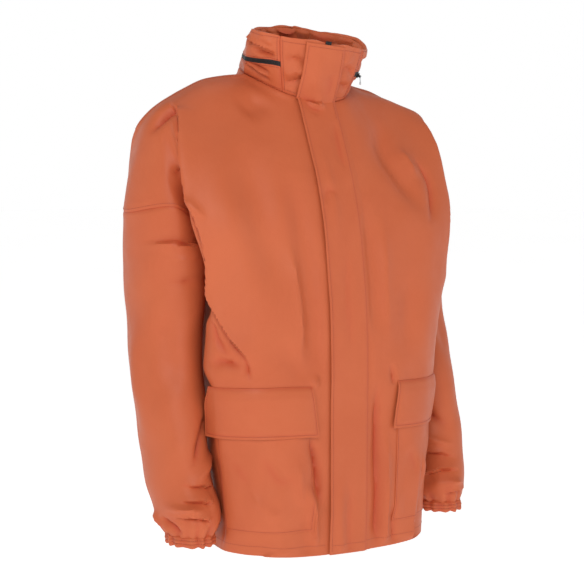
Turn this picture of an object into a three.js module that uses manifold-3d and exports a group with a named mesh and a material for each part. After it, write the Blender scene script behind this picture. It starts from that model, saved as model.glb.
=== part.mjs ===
// Hip-length raincoat on an absent wearer: coated cloth panels cut as closed walls in millimetres.
// +X is the wearer's left, -Y the wearer's front, +Z up; the origin is the middle of the neck base.
import * as THREE from 'three';
import { mergeVertices } from 'three/addons/utils/BufferGeometryUtils.js';
import Module from 'manifold-3d';

// Cloth thicknesses and seam gap
const CLOTH = 1.2;
const FLAP_CLOTH = 2.0;
const COLLAR_CLOTH = 1.4;
const SEAM_GAP = 0.36;
const LAYER_GAP = 0.4;

// How the coat hangs: the front swings to the wearer's right and the left side sits lower
const FRONT_SWING = -11;
const SIDE_LEAN = 11;
const LEAN_SPAN = 340;
const HEM_RISE = 9;

// Front opening and storm flap
const ZIP_HALF = 5.2;
const ZIP_THICK = 2.2;
const ZIP_STAND = 5;
const FLAP_FREE_EDGE = -49;
const FLAP_SEWN_EDGE = 21;
const FLAP_TOP_DROP = 7;

// Patch pockets and their flaps, heights from the neck base
const FLAP_TOP = -483;
const FLAP_BOTTOM = -561;
const POCKET_TOP = -500;
const POCKET_BOTTOM = -715;
const FLAP_WING = 20;

// Collar: ring centre, half sizes and rim heights
const RIM_HALF_WIDTH = 107;
const RIM_HALF_DEPTH = 63;
const RIM_CENTRE_Y = -25;
const RIM_FRONT_Z = 54;
const RIM_BACK_Z = 86;
const RIM_DROOP = 13;
const COLLAR_SEAM = 0.255;
const COLLAR_ZIP_TALL = 8;
const COLLAR_DEPTH = 9;

// Collar zip slider and pull tab
const SLIDER_COLUMN = 5;
const SLIDER_LONG = 9;
const SLIDER_WIDE = 7;
const SLIDER_THICK = 2.4;
const PIN_RISE = 2.6;
const PIN_RADIUS = 0.7;
const TAB_WIDE = 4.6;
const TAB_LONG = 11;
const TAB_THICK = 1.2;

// Cuffs
const CUFF_TALL = 15;
const CUFF_GATHERS = 13;
const CUFF_WAVE = 1.6;

const ORANGE = '#cd6946';
const BLACK = '#17171a';
const GREY = '#8d8f92';

// Ribs of the yoke, from the centre line out over the shoulder to the back of the arm.
// Each rib runs seam line, upper chest, chest, bust line, sleeve-seam level as [x, y, z].
const YOKE_LEVELS = ['seam', 'upper', 'chest', 'bust', 'level'];
const FRONT_RIBS = [
  { seam: [0, -58, -42], upper: [0, -66, -64],
    chest: [0, -85, -105], bust: [0, -108, -160], level: [0, -128, -225] },
  { seam: [58, -40, -28], upper: [60, -55, -54],
    chest: [63, -80, -102], bust: [64, -107, -160], level: [62, -127, -225] },
  { seam: [100, 26, 0], upper: [114, -10, -27],
    chest: [124, -55, -92], bust: [126, -96, -158], level: [124, -123, -225] },
  { seam: [165, 46, -12], upper: [177, 8, -28],
    chest: [186, -38, -86], bust: [193, -80, -155], level: [192, -110, -225] },
  { seam: [218, 60, -38], upper: [231, 12, -48],
    chest: [244, -28, -92], bust: [249, -56, -150], level: [247, -76, -222] },
  { seam: [226, 63, -42], upper: [240, 15, -53],
    chest: [251, -20, -95], bust: [246, -42, -152], level: [203, -38, -242] },
  { seam: [234, 67, -47], upper: [248, 20, -58],
    chest: [256, -8, -98], bust: [242, -24, -156], level: [167, 42, -264] },
  { seam: [248, 74, -59], upper: [260, 33, -69],
    chest: [268, 8, -104], bust: [268, -14, -156], level: [257, -30, -208] },
  { seam: [261, 85, -76], upper: [273, 55, -90],
    chest: [284, 50, -124], bust: [293, 52, -168], level: [299, 54, -216] },
  { seam: [264, 90, -84], upper: [268, 97, -106],
    chest: [269, 104, -138], bust: [270, 109, -174], level: [271, 112, -215] },
];
const BACK_RIBS = [
  { seam: [0, 112, 20], upper: [0, 125, -10],
    chest: [0, 139, -70], bust: [0, 147, -150], level: [0, 150, -225] },
  { seam: [68, 92, 15], upper: [66, 114, -12],
    chest: [66, 136, -72], bust: [66, 146, -150], level: [66, 149, -225] },
  { seam: [100, 26, 0], upper: [116, 74, -8],
    chest: [126, 122, -68], bust: [128, 142, -150], level: [126, 148, -225] },
  { seam: [165, 46, -12], upper: [178, 80, -27],
    chest: [188, 114, -80], bust: [190, 137, -150], level: [184, 147, -225] },
  { seam: [218, 60, -38], upper: [228, 86, -54],
    chest: [236, 112, -94], bust: [234, 133, -152], level: [222, 144, -226] },
  { seam: [226, 63, -42], upper: [235, 88, -60],
    chest: [242, 112, -98], bust: [236, 126, -156], level: [188, 110, -246] },
  { seam: [234, 67, -47], upper: [243, 90, -67],
    chest: [248, 110, -103], bust: [240, 116, -160], level: [167, 42, -264] },
  { seam: [248, 74, -59], upper: [256, 93, -80],
    chest: [259, 109, -114], bust: [256, 122, -162], level: [238, 130, -215] },
  { seam: [264, 90, -84], upper: [268, 97, -106],
    chest: [269, 104, -138], bust: [270, 109, -174], level: [271, 112, -215] },
];
const VALLEY = 6;

// Body sections below the underarm: centre depth, corner, tuck behind the corner and side seam
const FRONT_SECTIONS = [
  { z: -292, centre: -140, cornerX: 228, cornerY: -84, tuckX: 186, tuckY: -46, sideX: 158, sideY: 40 },
  { z: -350, centre: -148, cornerX: 220, cornerY: -88, tuckX: 178, tuckY: -50, sideX: 155, sideY: 36 },
  { z: -408, centre: -152, cornerX: 212, cornerY: -90, tuckX: 178, tuckY: -50, sideX: 162, sideY: 32 },
  { z: -465, centre: -153, cornerX: 208, cornerY: -86, tuckX: 184, tuckY: -46, sideX: 174, sideY: 26 },
  { z: -526, centre: -153, cornerX: 203, cornerY: -82, tuckX: 188, tuckY: -42, sideX: 181, sideY: 20 },
  { z: -608, centre: -153, cornerX: 196, cornerY: -80, tuckX: 188, tuckY: -44, sideX: 184, sideY: 14 },
  { z: -690, centre: -152, cornerX: 190, cornerY: -82, tuckX: 180, tuckY: -48, sideX: 178, sideY: 10 },
  { z: -757, centre: -150, cornerX: 186, cornerY: -82, tuckX: 184, tuckY: -46, sideX: 182, sideY: 12 },
];
const BACK_SECTIONS = [
  { z: -292, centre: 151, cornerX: 208, cornerY: 142, tuckX: 172, tuckY: 100, sideX: 158, sideY: 40 },
  { z: -350, centre: 150, cornerX: 200, cornerY: 138, tuckX: 168, tuckY: 98, sideX: 155, sideY: 36 },
  { z: -408, centre: 149, cornerX: 196, cornerY: 134, tuckX: 170, tuckY: 94, sideX: 162, sideY: 32 },
  { z: -465, centre: 149, cornerX: 195, cornerY: 128, tuckX: 178, tuckY: 88, sideX: 174, sideY: 26 },
  { z: -526, centre: 149, cornerX: 196, cornerY: 120, tuckX: 185, tuckY: 80, sideX: 181, sideY: 20 },
  { z: -608, centre: 150, cornerX: 197, cornerY: 113, tuckX: 190, tuckY: 72, sideX: 184, sideY: 14 },
  { z: -690, centre: 151, cornerX: 197, cornerY: 110, tuckX: 191, tuckY: 70, sideX: 178, sideY: 10 },
  { z: -757, centre: 152, cornerX: 198, cornerY: 110, tuckX: 192, tuckY: 70, sideX: 182, sideY: 12 },
];
const ACROSS = [[0, 0], [0.27, 0.01], [0.53, 0.06], [0.8, 0.3], [1, 1]];

// Sleeve sections below the sleeve seam: centre and half sizes
const SLEEVE_SECTIONS = [
  { z: -292, x: 233, y: 52, halfX: 62, halfY: 84 },
  { z: -350, x: 236, y: 52, halfX: 58, halfY: 80 },
  { z: -403, x: 239, y: 45, halfX: 56, halfY: 78 },
  { z: -455, x: 244, y: 34, halfX: 54, halfY: 76 },
  { z: -516, x: 245, y: 16, halfX: 52, halfY: 73 },
  { z: -590, x: 247, y: -3, halfX: 49, halfY: 70 },
  { z: -636, x: 246, y: -14, halfX: 48, halfY: 68 },
  { z: -670, x: 242, y: -26, halfX: 48, halfY: 67 },
  { z: -694, x: 240, y: -33, halfX: 46, halfY: 62 },
  { z: -708, x: 241, y: -40, halfX: 40, halfY: 51 },
  { z: -716, x: 242, y: -44, halfX: 35, halfY: 43 },
];

const group = new THREE.Group();

const vec = (p) => new THREE.Vector3(p[0], p[1], p[2]);
const mix = (a, b, t) => a.clone().lerp(b, t);
const clamp01 = (t) => Math.min(1, Math.max(0, t));
const ease = (t) => clamp01(t) * clamp01(t) * (3 - 2 * clamp01(t));

// The hang of the whole coat on one point of the body
function hang(p, swings) {
  const swing = swings ? FRONT_SWING * ease((24 - p.y) / 80) : 0;
  const x = p.x + swing;
  const lean = SIDE_LEAN * (1 - 0.8 * ease((-420 - p.z) / 320)) * Math.sin(Math.PI * x / LEAN_SPAN);
  const hemRise = HEM_RISE * ease((-690 - p.z) / 67) * Math.min(1, (p.x / 190) ** 2);
  return new THREE.Vector3(x, p.y, p.z - lean + hemRise);
}

// Parameters from 0 to the last span, with the given number of steps in each span
function steps(counts) {
  const list = [0];
  counts.forEach((count, span) => {
    for (let k = 1; k <= count; k += 1) list.push(span + k / count);
  });
  return list;
}

// Smooth curve through points, broken at the given corners, read by point number.
// A point before or beyond the row only steers the direction of the end.
function curveThrough(points, corners = [], before = null, beyond = null) {
  const ends = [0, ...corners, points.length - 1];
  const parts = [];
  for (let k = 0; k + 1 < ends.length; k += 1) {
    const section = points.slice(ends[k], ends[k + 1] + 1);
    const lead = k === 0 && before ? 1 : 0;
    if (lead) section.unshift(before);
    if (k + 2 === ends.length && beyond) section.push(beyond);
    const curve = new THREE.CatmullRomCurve3(section, false, 'centripetal');
    parts.push({ lead, spans: section.length - 1, curve });
  }
  return (u) => {
    let k = 0;
    while (k + 2 < ends.length && u > ends[k + 1]) k += 1;
    return parts[k].curve.getPoint((u - ends[k] + parts[k].lead) / parts[k].spans);
  };
}

// Area-weighted normals of a grid whose missing points are null
function gridNormals(rows, closed) {
  const normals = rows.map((row) => row.map(() => new THREE.Vector3()));
  eachQuad(rows, closed, (corners) => {
    const [a, b, c, d] = corners.map(([i, j]) => rows[i][j]);
    const n = c.clone().sub(a).cross(d.clone().sub(b));
    corners.forEach(([i, j]) => normals[i][j].add(n));
  });
  normals.forEach((row) => row.forEach((n) => n.normalize()));
  return normals;
}

function eachQuad(rows, closed, visit) {
  for (let i = 0; i + 1 < rows.length; i += 1) {
    const width = closed ? rows[i].length : rows[i].length - 1;
    for (let j = 0; j < width; j += 1) {
      const k = (j + 1) % rows[i].length;
      const corners = [[i, j], [i + 1, j], [i + 1, k], [i, k]];
      if (corners.every(([r, c]) => rows[r][c])) visit(corners);
    }
  }
}

// Closed wall of even thickness about a grid of middle points
function wall(rows, thickness, closed = false) {
  const normals = gridNormals(rows, closed);
  const positions = [];
  const index = rows.map((row) => row.map(() => -1));
  rows.forEach((row, i) => row.forEach((p, j) => {
    if (!p) return;
    index[i][j] = positions.length / 3;
    for (const side of [0.5, -0.5]) {
      const q = p.clone().addScaledVector(normals[i][j], side * thickness);
      positions.push(q.x, q.y, q.z);
    }
  }));
  const faces = [];
  const edges = new Map();
  eachQuad(rows, closed, (corners) => {
    const [a, b, c, d] = corners.map(([i, j]) => index[i][j]);
    faces.push(a, b, c, a, c, d);
    faces.push(a + 1, c + 1, b + 1, a + 1, d + 1, c + 1);
    for (const [p, q] of [[a, b], [b, c], [c, d], [d, a]]) {
      if (edges.has(`${q}_${p}`)) edges.delete(`${q}_${p}`);
      else edges.set(`${p}_${q}`, [p, q]);
    }
  });
  edges.forEach(([p, q]) => faces.push(p, q + 1, q, p, p + 1, q + 1));
  const geometry = new THREE.BufferGeometry();
  geometry.setAttribute('position', new THREE.Float32BufferAttribute(positions, 3));
  geometry.setIndex(faces);
  return outward(geometry);
}

// Turns a closed surface so that its faces look out
function outward(geometry) {
  const p = geometry.attributes.position;
  const index = geometry.index.array;
  const [a, b, c] = [new THREE.Vector3(), new THREE.Vector3(), new THREE.Vector3()];
  let volume = 0;
  for (let k = 0; k < index.length; k += 3) {
    a.fromBufferAttribute(p, index[k]);
    b.fromBufferAttribute(p, index[k + 1]);
    c.fromBufferAttribute(p, index[k + 2]);
    volume += a.dot(b.cross(c));
  }
  if (volume < 0) {
    const turned = Array.from(index);
    for (let k = 0; k < turned.length; k += 3) {
      [turned[k + 1], turned[k + 2]] = [turned[k + 2], turned[k + 1]];
    }
    geometry.setIndex(turned);
  }
  geometry.computeVertexNormals();
  return geometry;
}

function add(name, geometry, color, roughness = 0.55, metalness = 0) {
  const material = new THREE.MeshStandardMaterial({ color, roughness, metalness });
  const mesh = new THREE.Mesh(geometry, material);
  mesh.name = name;
  group.add(mesh);
  return mesh;
}

// Control points of one half of the front or back: yoke levels first, then body sections
function controlRows(isBack, side) {
  const ribs = isBack ? BACK_RIBS : FRONT_RIBS;
  const rows = YOKE_LEVELS.map((level) => ribs.map((rib, k) => {
    const [x, y, z] = rib[level];
    return hang(new THREE.Vector3(side * x, y, z), !isBack && k < VALLEY);
  }));
  for (const s of isBack ? BACK_SECTIONS : FRONT_SECTIONS) {
    const row = ACROSS.map(([across, deep]) => new THREE.Vector3(
      side * s.cornerX * across, s.centre + (s.cornerY - s.centre) * deep, s.z));
    row.push(new THREE.Vector3(side * s.tuckX, s.tuckY, s.z));
    row.push(new THREE.Vector3(side * s.sideX, s.sideY, s.z));
    rows.push(row.map((p) => hang(p, !isBack)));
  }
  return rows;
}

// One half panel: body columns to the side seam, cap columns over the arm above the sleeve seam.
// Neighbouring points of the other panel keep each row smooth across the side seam.
function halfPanel(isBack, side, bodySteps, capSteps, firstU) {
  const control = controlRows(isBack, side);
  const other = controlRows(!isBack, side);
  const sleeveRow = YOKE_LEVELS.length - 1;
  const us = steps([...bodySteps, ...capSteps]);
  us[0] = firstU;
  const vs = steps([1, 2, 2, 3, 3, 2, 2, 2, 2, 2, 2, 1]);
  const capEnd = other[0].length - 2;
  const curves = control.map((row, r) => {
    const mirrored = controlRows(isBack, -side)[r][1];
    const beyond = r > sleeveRow ? other[r][VALLEY - 1] : other[r][capEnd];
    if (r === 0) return curveThrough(row, [2], null, beyond);
    if (r !== sleeveRow) return curveThrough(row, [], mirrored, beyond);
    const body = curveThrough(row.slice(0, VALLEY + 1), [], mirrored, other[r][VALLEY - 1]);
    const cap = curveThrough(row.slice(VALLEY), [], other[r][VALLEY + 1], beyond);
    return (u) => (u <= VALLEY ? body(u) : cap(u - VALLEY));
  });
  const point = (u, v) => {
    const list = curves.filter((curve, r) => u <= VALLEY || r <= sleeveRow).map((curve) => curve(u));
    return curveThrough(list, u === VALLEY ? [sleeveRow] : [])(v);
  };
  const rows = vs.map((v) => us.map((u) => (u > VALLEY && v > sleeveRow ? null : point(u, v))));
  return { rows, us, vs, side, seamRow: vs.indexOf(sleeveRow), seamColumn: us.indexOf(VALLEY) };
}

const pulled = (p, towards, by) => p.clone().add(towards.clone().sub(p).setLength(by));

const sides = { right: -1, left: 1 };
const half = SEAM_GAP / 2;
const halves = {};
for (const [name, side] of Object.entries(sides)) {
  const front = halfPanel(false, side, [2, 2, 3, 3, 2, 3], [4, 3, 2], ZIP_HALF / 55);
  const back = halfPanel(true, side, [2, 2, 2, 3, 2, 3], [3, 3], 0);
  halves[name] = { front, back };
}

// Draws the edges of a half panel back from its seams
function trimmed(panel) {
  const rows = panel.rows.map((row) => row.slice());
  const source = panel.rows;
  const s = panel.seamRow;
  const w = panel.seamColumn;
  const last = panel.us.length - 1;
  for (let j = 0; j <= last; j += 1) rows[0][j] = pulled(source[0][j], source[1][j], half + 0.15);
  for (let i = 0; i <= s; i += 1) {
    rows[i][last] = pulled(rows[i][last], source[i][last - 1], half + (i < 3 ? 1.1 : 0.3));
  }
  for (let j = w + 1; j <= last; j += 1) rows[s][j] = pulled(rows[s][j], source[s - 1][j], half);
  for (let i = s + 1; i < rows.length; i += 1) rows[i][w] = pulled(source[i][w], source[i][w - 1], half);
  rows[s][w] = pulled(pulled(source[s][w], source[s][w - 1], 1.4), source[s - 1][w], 0.8);
  return rows;
}

for (const name of Object.keys(sides)) {
  add(`front_${name}`, wall(trimmed(halves[name].front), CLOTH), ORANGE);
}

// The back is one panel: both halves joined on the centre-back column
const backRight = trimmed(halves.right.back);
const backLeft = trimmed(halves.left.back);
const backRows = backRight.map((row, i) => [...row.slice(1).reverse(), ...backLeft[i]]);
add('back', wall(backRows, CLOTH), ORANGE);

// Ring of the sleeve seam, doubled by middle points so that cap and sleeve share its corners
function sleeveRing(name) {
  const { front, back } = halves[name];
  const loop = front.rows[front.seamRow].slice(front.seamColumn);
  const behind = back.rows[back.seamRow].slice(back.seamColumn + 1, back.us.length - 1).reverse();
  loop.push(...behind);
  const ring = [];
  loop.forEach((p, k) => ring.push(p, mix(p, loop[(k + 1) % loop.length], 0.5)));
  return ring;
}

function sleeve(name) {
  const side = sides[name];
  const ring = sleeveRing(name);
  const turn = ring.map((p) => Math.atan2(p.y - 46, side * p.x - 240));
  const columns = ring.map((start, k) => {
    const points = [start];
    for (const s of SLEEVE_SECTIONS) {
      const lean = (1 - ease((-220 - s.z) / 180));
      const x = s.x + s.halfX * Math.cos(turn[k]);
      const z = s.z - lean * SIDE_LEAN * Math.sin(Math.PI * side * x / LEAN_SPAN);
      points.push(new THREE.Vector3(side * x, s.y + s.halfY * Math.sin(turn[k]), z));
    }
    return curveThrough(points);
  });
  const vs = steps([3, 2, 2, 2, 2, 2, 2, 2, 1, 1, 1]);
  const rows = vs.map((v) => columns.map((curve) => curve(v)));
  const underarm = [2.4, 1.8, 0.8];
  const drawn = (k) => underarm[Math.min(k, ring.length - k)] || half + 0.05;
  rows[0] = rows[0].map((p, k) => pulled(p, rows[1][k], drawn(k)));
  add(`sleeve_${name}`, wall(rows, CLOTH, true), ORANGE);
}
sleeve('right');
sleeve('left');

// Elastic casing of the cuff, drawn into small gathers
function cuff(name) {
  const side = sides[name];
  const end = SLEEVE_SECTIONS[SLEEVE_SECTIONS.length - 1];
  const count = CUFF_GATHERS * 4;
  const rows = [0, 0.5, 1].map((down) => {
    const row = [];
    for (let k = 0; k < count; k += 1) {
      const a = k / count * 2 * Math.PI;
      const wave = CUFF_WAVE * Math.cos(CUFF_GATHERS * a);
      const swell = 1.5 * Math.sin(Math.PI * down) + wave;
      const drop = down * CUFF_TALL + (down > 0.9 ? 0.8 * wave : 0);
      row.push(new THREE.Vector3(side * (end.x + (end.halfX + swell) * Math.cos(a)),
        end.y - 2 * down + (end.halfY + swell) * Math.sin(a), end.z - 0.9 - drop));
    }
    return row;
  });
  add(`cuff_${name}`, wall(rows, 1.8, true), ORANGE);
}
cuff('right');
cuff('left');

// Neck seam of one half from the front edge round to the centre back
function neckHalf(name) {
  const { front, back } = halves[name];
  const top = front.rows[0].slice(0, front.us.indexOf(2) + 1);
  const behind = back.rows[0].slice(0, back.us.indexOf(2)).reverse();
  const loop = [...top, ...behind];
  return loop.flatMap((p, k) => (k + 1 < loop.length ? [p, mix(p, loop[k + 1], 0.5)] : [p]));
}
const neckRight = neckHalf('right');
const neckLeft = neckHalf('left');
const NECK_HALF = neckRight.length - 1;
const NECK = [...neckRight, ...neckLeft.slice(0, NECK_HALF).reverse()];
const SEAM_COLUMN = Math.round(2 * COLLAR_SEAM * NECK_HALF / 2);

// Share of the way round one half and the side, for a collar column
function around(k) {
  const onRight = k <= NECK_HALF;
  const share = onRight ? k / NECK_HALF : (2 * NECK_HALF - k) / NECK_HALF;
  return { share, side: onRight ? -1 : 1 };
}

// Rim of the collar, higher behind and sagging on the wearer's left
function rimPoint(k) {
  const { share, side } = around(k);
  const turn = 0.05 + share * (Math.PI - 0.05);
  const y = RIM_CENTRE_Y - RIM_HALF_DEPTH * Math.cos(turn);
  const rise = (1 - Math.cos(turn)) / 2;
  const droop = side > 0 ? RIM_DROOP * Math.exp(-(((turn - 1.25) / 0.6) ** 2)) : 0;
  const z = RIM_FRONT_Z + (RIM_BACK_Z - RIM_FRONT_Z) * rise - droop;
  return hang(new THREE.Vector3(side * RIM_HALF_WIDTH * Math.sin(turn), y, z), true);
}

// Collar surface: column round the neck, height share, distance moved towards the neck
function collarPoint(k, h, inward = 0) {
  const p = mix(NECK[k], rimPoint(k), h);
  const middleY = 30 - 50 * h;
  const out = new THREE.Vector3(p.x + 8, p.y - middleY, 0).normalize();
  return p.addScaledVector(out, 3 * Math.sin(Math.PI * h) - inward);
}

const range = (from, to) => Array.from({ length: to - from + 1 }, (_, k) => from + k);
const BASE_SHARE = 0.011;
const lastColumn = 2 * NECK_HALF;

// Height share of the middle of the collar zip
function zipShare(k) {
  const { share } = around(k);
  return 0.5 - 0.16 * ease((share - 0.25) / 0.3);
}
function zipEdge(k, sign, gap) {
  return zipShare(k) + sign * (COLLAR_ZIP_TALL / 2 + gap) / NECK[k].distanceTo(rimPoint(k));
}
const band = range(SEAM_COLUMN, lastColumn - SEAM_COLUMN);
const trim = 0.3;

// Rim of each outer piece rolls over towards the inside
const rimRoll = [0, 0, 0, 0, 0.6, 2.6, 4.4];
const frontHeights = [BASE_SHARE, 0.3, 0.6, 0.85, 0.98, 1.0, 0.985];
function bandColumns(rows) {
  return rows.map((row) => row.map((p, k) => {
    if (k === 0) return pulled(p, row[1], trim);
    return k === row.length - 1 ? pulled(p, row[k - 1], trim) : p;
  }));
}
function collarWall(name, columns, heights, inward, thickness, color) {
  const share = (h, k) => (typeof h === 'function' ? h(k) : h);
  const rows = heights.map((h, i) => columns.map((k) => collarPoint(k, share(h, k), inward[i])));
  add(name, wall(bandColumns(rows), thickness), color);
}
const rightFront = range(0, SEAM_COLUMN);
const leftFront = range(lastColumn - SEAM_COLUMN, lastColumn);
collarWall('collar_front_right', rightFront, frontHeights, rimRoll, COLLAR_CLOTH, ORANGE);
collarWall('collar_front_left', leftFront, frontHeights, rimRoll, COLLAR_CLOTH, ORANGE);
collarWall('collar_band_lower', band,
  [BASE_SHARE, 0.15, (k) => zipEdge(k, -1, 0.4)], [0, 0, 0], COLLAR_CLOTH, ORANGE);
collarWall('collar_hood_cover', band, [(k) => zipEdge(k, 1, 0.4), 0.65, 0.85, 0.98, 1.0, 0.985],
  [0, 0, 0, 0.6, 2.6, 4.4], COLLAR_CLOTH, ORANGE);
collarWall('collar_zip', band,
  [(k) => zipEdge(k, -1, 0), (k) => zipEdge(k, 1, 0)], [0, 0], COLLAR_CLOTH, BLACK);
collarWall('collar_inner', range(0, lastColumn), [0.02, 0.25, 0.5, 0.75, 0.96],
  [3, 8, COLLAR_DEPTH, COLLAR_DEPTH, 6], COLLAR_CLOTH, ORANGE);

// Front edge lines from hem to rim, right and left
const frontLine = (name) => halves[name].front.rows.map((row) => row[0]);
const collarLine = (k) => [0.12, 0.35, 0.6, 0.85, 1.0].map((h) => collarPoint(k, h)).reverse();
const lineRight = [...collarLine(0), ...frontLine('right')];
const lineLeft = [...collarLine(lastColumn), ...frontLine('left')];

// Front zip strip between the two front edges, its top ends standing above the rim
function frontZip() {
  const rows = lineRight.map((p, i) => {
    const q = lineLeft[i];
    const gap = 0.45;
    return [pulled(p, q, gap), mix(p, q, 0.5), pulled(q, p, gap)];
  });
  rows.unshift(rows[0].map((p) => p.clone().add(new THREE.Vector3(0, -1, ZIP_STAND))));
  add('front_zip', wall(rows, ZIP_THICK), BLACK, 0.5);
}
frontZip();

// Row of the coat's front at one height, right to left, read by x
function frontRow(i) {
  const collarRows = [1.0, 0.85, 0.6, 0.35, 0.12];
  if (i < collarRows.length) {
    const h = collarRows[i];
    const right = range(0, 6).map((k) => collarPoint(k, h)).reverse();
    return [...right, ...range(0, 6).map((k) => collarPoint(lastColumn - k, h))];
  }
  const row = i - collarRows.length;
  const right = halves.right.front.rows[row].slice(0, 8).reverse();
  return [...right, ...halves.left.front.rows[row].slice(0, 8)];
}
function atX(row, x) {
  let k = 0;
  while (k + 2 < row.length && row[k + 1].x < x) k += 1;
  return mix(row[k], row[k + 1], (x - row[k].x) / (row[k + 1].x - row[k].x));
}

// Moves a grid off the cloth that carries it, away from the wearer
function lifted(rows, lift) {
  const normals = gridNormals(rows, false);
  const sign = normals.flat().reduce((sum, n) => sum + n.y, 0) > 0 ? -1 : 1;
  return rows.map((row, i) => row.map((p, j) => {
    const n = normals[i][j];
    return p.clone().addScaledVector(n, sign * (typeof lift === 'function' ? lift(i, j) : lift));
  }));
}

// Storm flap over the zip, free along the wearer's right edge
function stormFlap() {
  const xs = [FLAP_FREE_EDGE, -33, -17, -5, 8, FLAP_SEWN_EDGE];
  const rows = lineRight.map((p, i) => xs.map((x) => atX(frontRow(i), x)));
  rows[0] = rows[0].map((p) => p.clone().add(new THREE.Vector3(0, 2, -FLAP_TOP_DROP)));
  add('storm_flap', wall(lifted(rows, (i) => (i > 2 && i < 7 ? 3.8 : 2.6)), FLAP_CLOTH), ORANGE);
}
stormFlap();

// Point of a panel between its grid lines
function onPanel(panel, u, v) {
  const find = (list, t) => Math.max(0, Math.min(list.length - 2, list.findIndex((x) => x > t) - 1));
  const j = find(panel.us, u);
  const i = find(panel.vs, v);
  const s = (u - panel.us[j]) / (panel.us[j + 1] - panel.us[j]);
  const t = (v - panel.vs[i]) / (panel.vs[i + 1] - panel.vs[i]);
  const top = mix(panel.rows[i][j], panel.rows[i][j + 1], s);
  return mix(top, mix(panel.rows[i + 1][j], panel.rows[i + 1][j + 1], s), t);
}

// Row parameter of a height, from the body sections
function rowAt(z) {
  const k = FRONT_SECTIONS.findIndex((s) => s.z <= z);
  const upper = FRONT_SECTIONS[k - 1];
  return YOKE_LEVELS.length + k - 1 + (upper.z - z) / (upper.z - FRONT_SECTIONS[k].z);
}

// Parameters from first to last that keep every grid line of the panel in between
function withLines(list, first, last) {
  return [first, ...list.filter((t) => t > first + 0.02 && t < last - 0.02), last];
}

function panelGrid(panel, uFrom, uTo, zTop, zBottom, extra = []) {
  const us = withLines([...panel.us], uFrom, uTo);
  const vs = withLines([...panel.vs, ...extra.map(rowAt)].sort((a, b) => a - b), rowAt(zTop), rowAt(zBottom));
  return vs.map((v) => us.map((u) => onPanel(panel, u, v)));
}

// Patch pocket and its flap on one front
function pocket(name) {
  const panel = halves[name].front;
  const inner = name === 'right' ? 1.28 : 1.68;
  const patch = panelGrid(panel, inner + 0.06, 4.0, POCKET_TOP, POCKET_BOTTOM);
  const wide = patch[0].length - 1;
  const tall = patch.length - 1;
  const swell = (i, j) => 1.7 + 1.5 * Math.sin(Math.PI * i / tall) * Math.sin(Math.PI * j / wide);
  add(`pocket_${name}`, wall(lifted(patch, swell), CLOTH), ORANGE);
  const flap = panelGrid(panel, inner, 4.0, FLAP_TOP, FLAP_BOTTOM, [POCKET_TOP + 6]);
  const raised = lifted(flap, (i) => (i === 0 ? 2.1 : 5.2));
  raised.forEach((row, i) => {
    const end = row[row.length - 1];
    const along = end.clone().sub(row[row.length - 2]).normalize();
    along.lerp(new THREE.Vector3(0, 1, 0), 0.25).normalize();
    row.push(end.clone().addScaledVector(along, FLAP_WING * (i === 0 ? 0.6 : 1)));
  });
  add(`pocket_flap_${name}`, wall(raised, FLAP_CLOTH), ORANGE);
}
pocket('right');
pocket('left');

// Joins and cuts of closed geometries
const manifold = await Module();
manifold.setup();
function solidOf(geometry) {
  const clean = mergeVertices(geometry.clone().deleteAttribute('normal').deleteAttribute('uv'), 1e-4);
  return new manifold.Manifold(new manifold.Mesh({
    numProp: 3,
    vertProperties: Float32Array.from(clean.attributes.position.array),
    triVerts: Uint32Array.from(clean.index.array),
  }));
}
function geometryOf(solid) {
  const mesh = solid.getMesh();
  const geometry = new THREE.BufferGeometry();
  geometry.setAttribute('position', new THREE.Float32BufferAttribute(Array.from(mesh.vertProperties), 3));
  geometry.setIndex(Array.from(mesh.triVerts));
  geometry.computeVertexNormals();
  return geometry;
}

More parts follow.
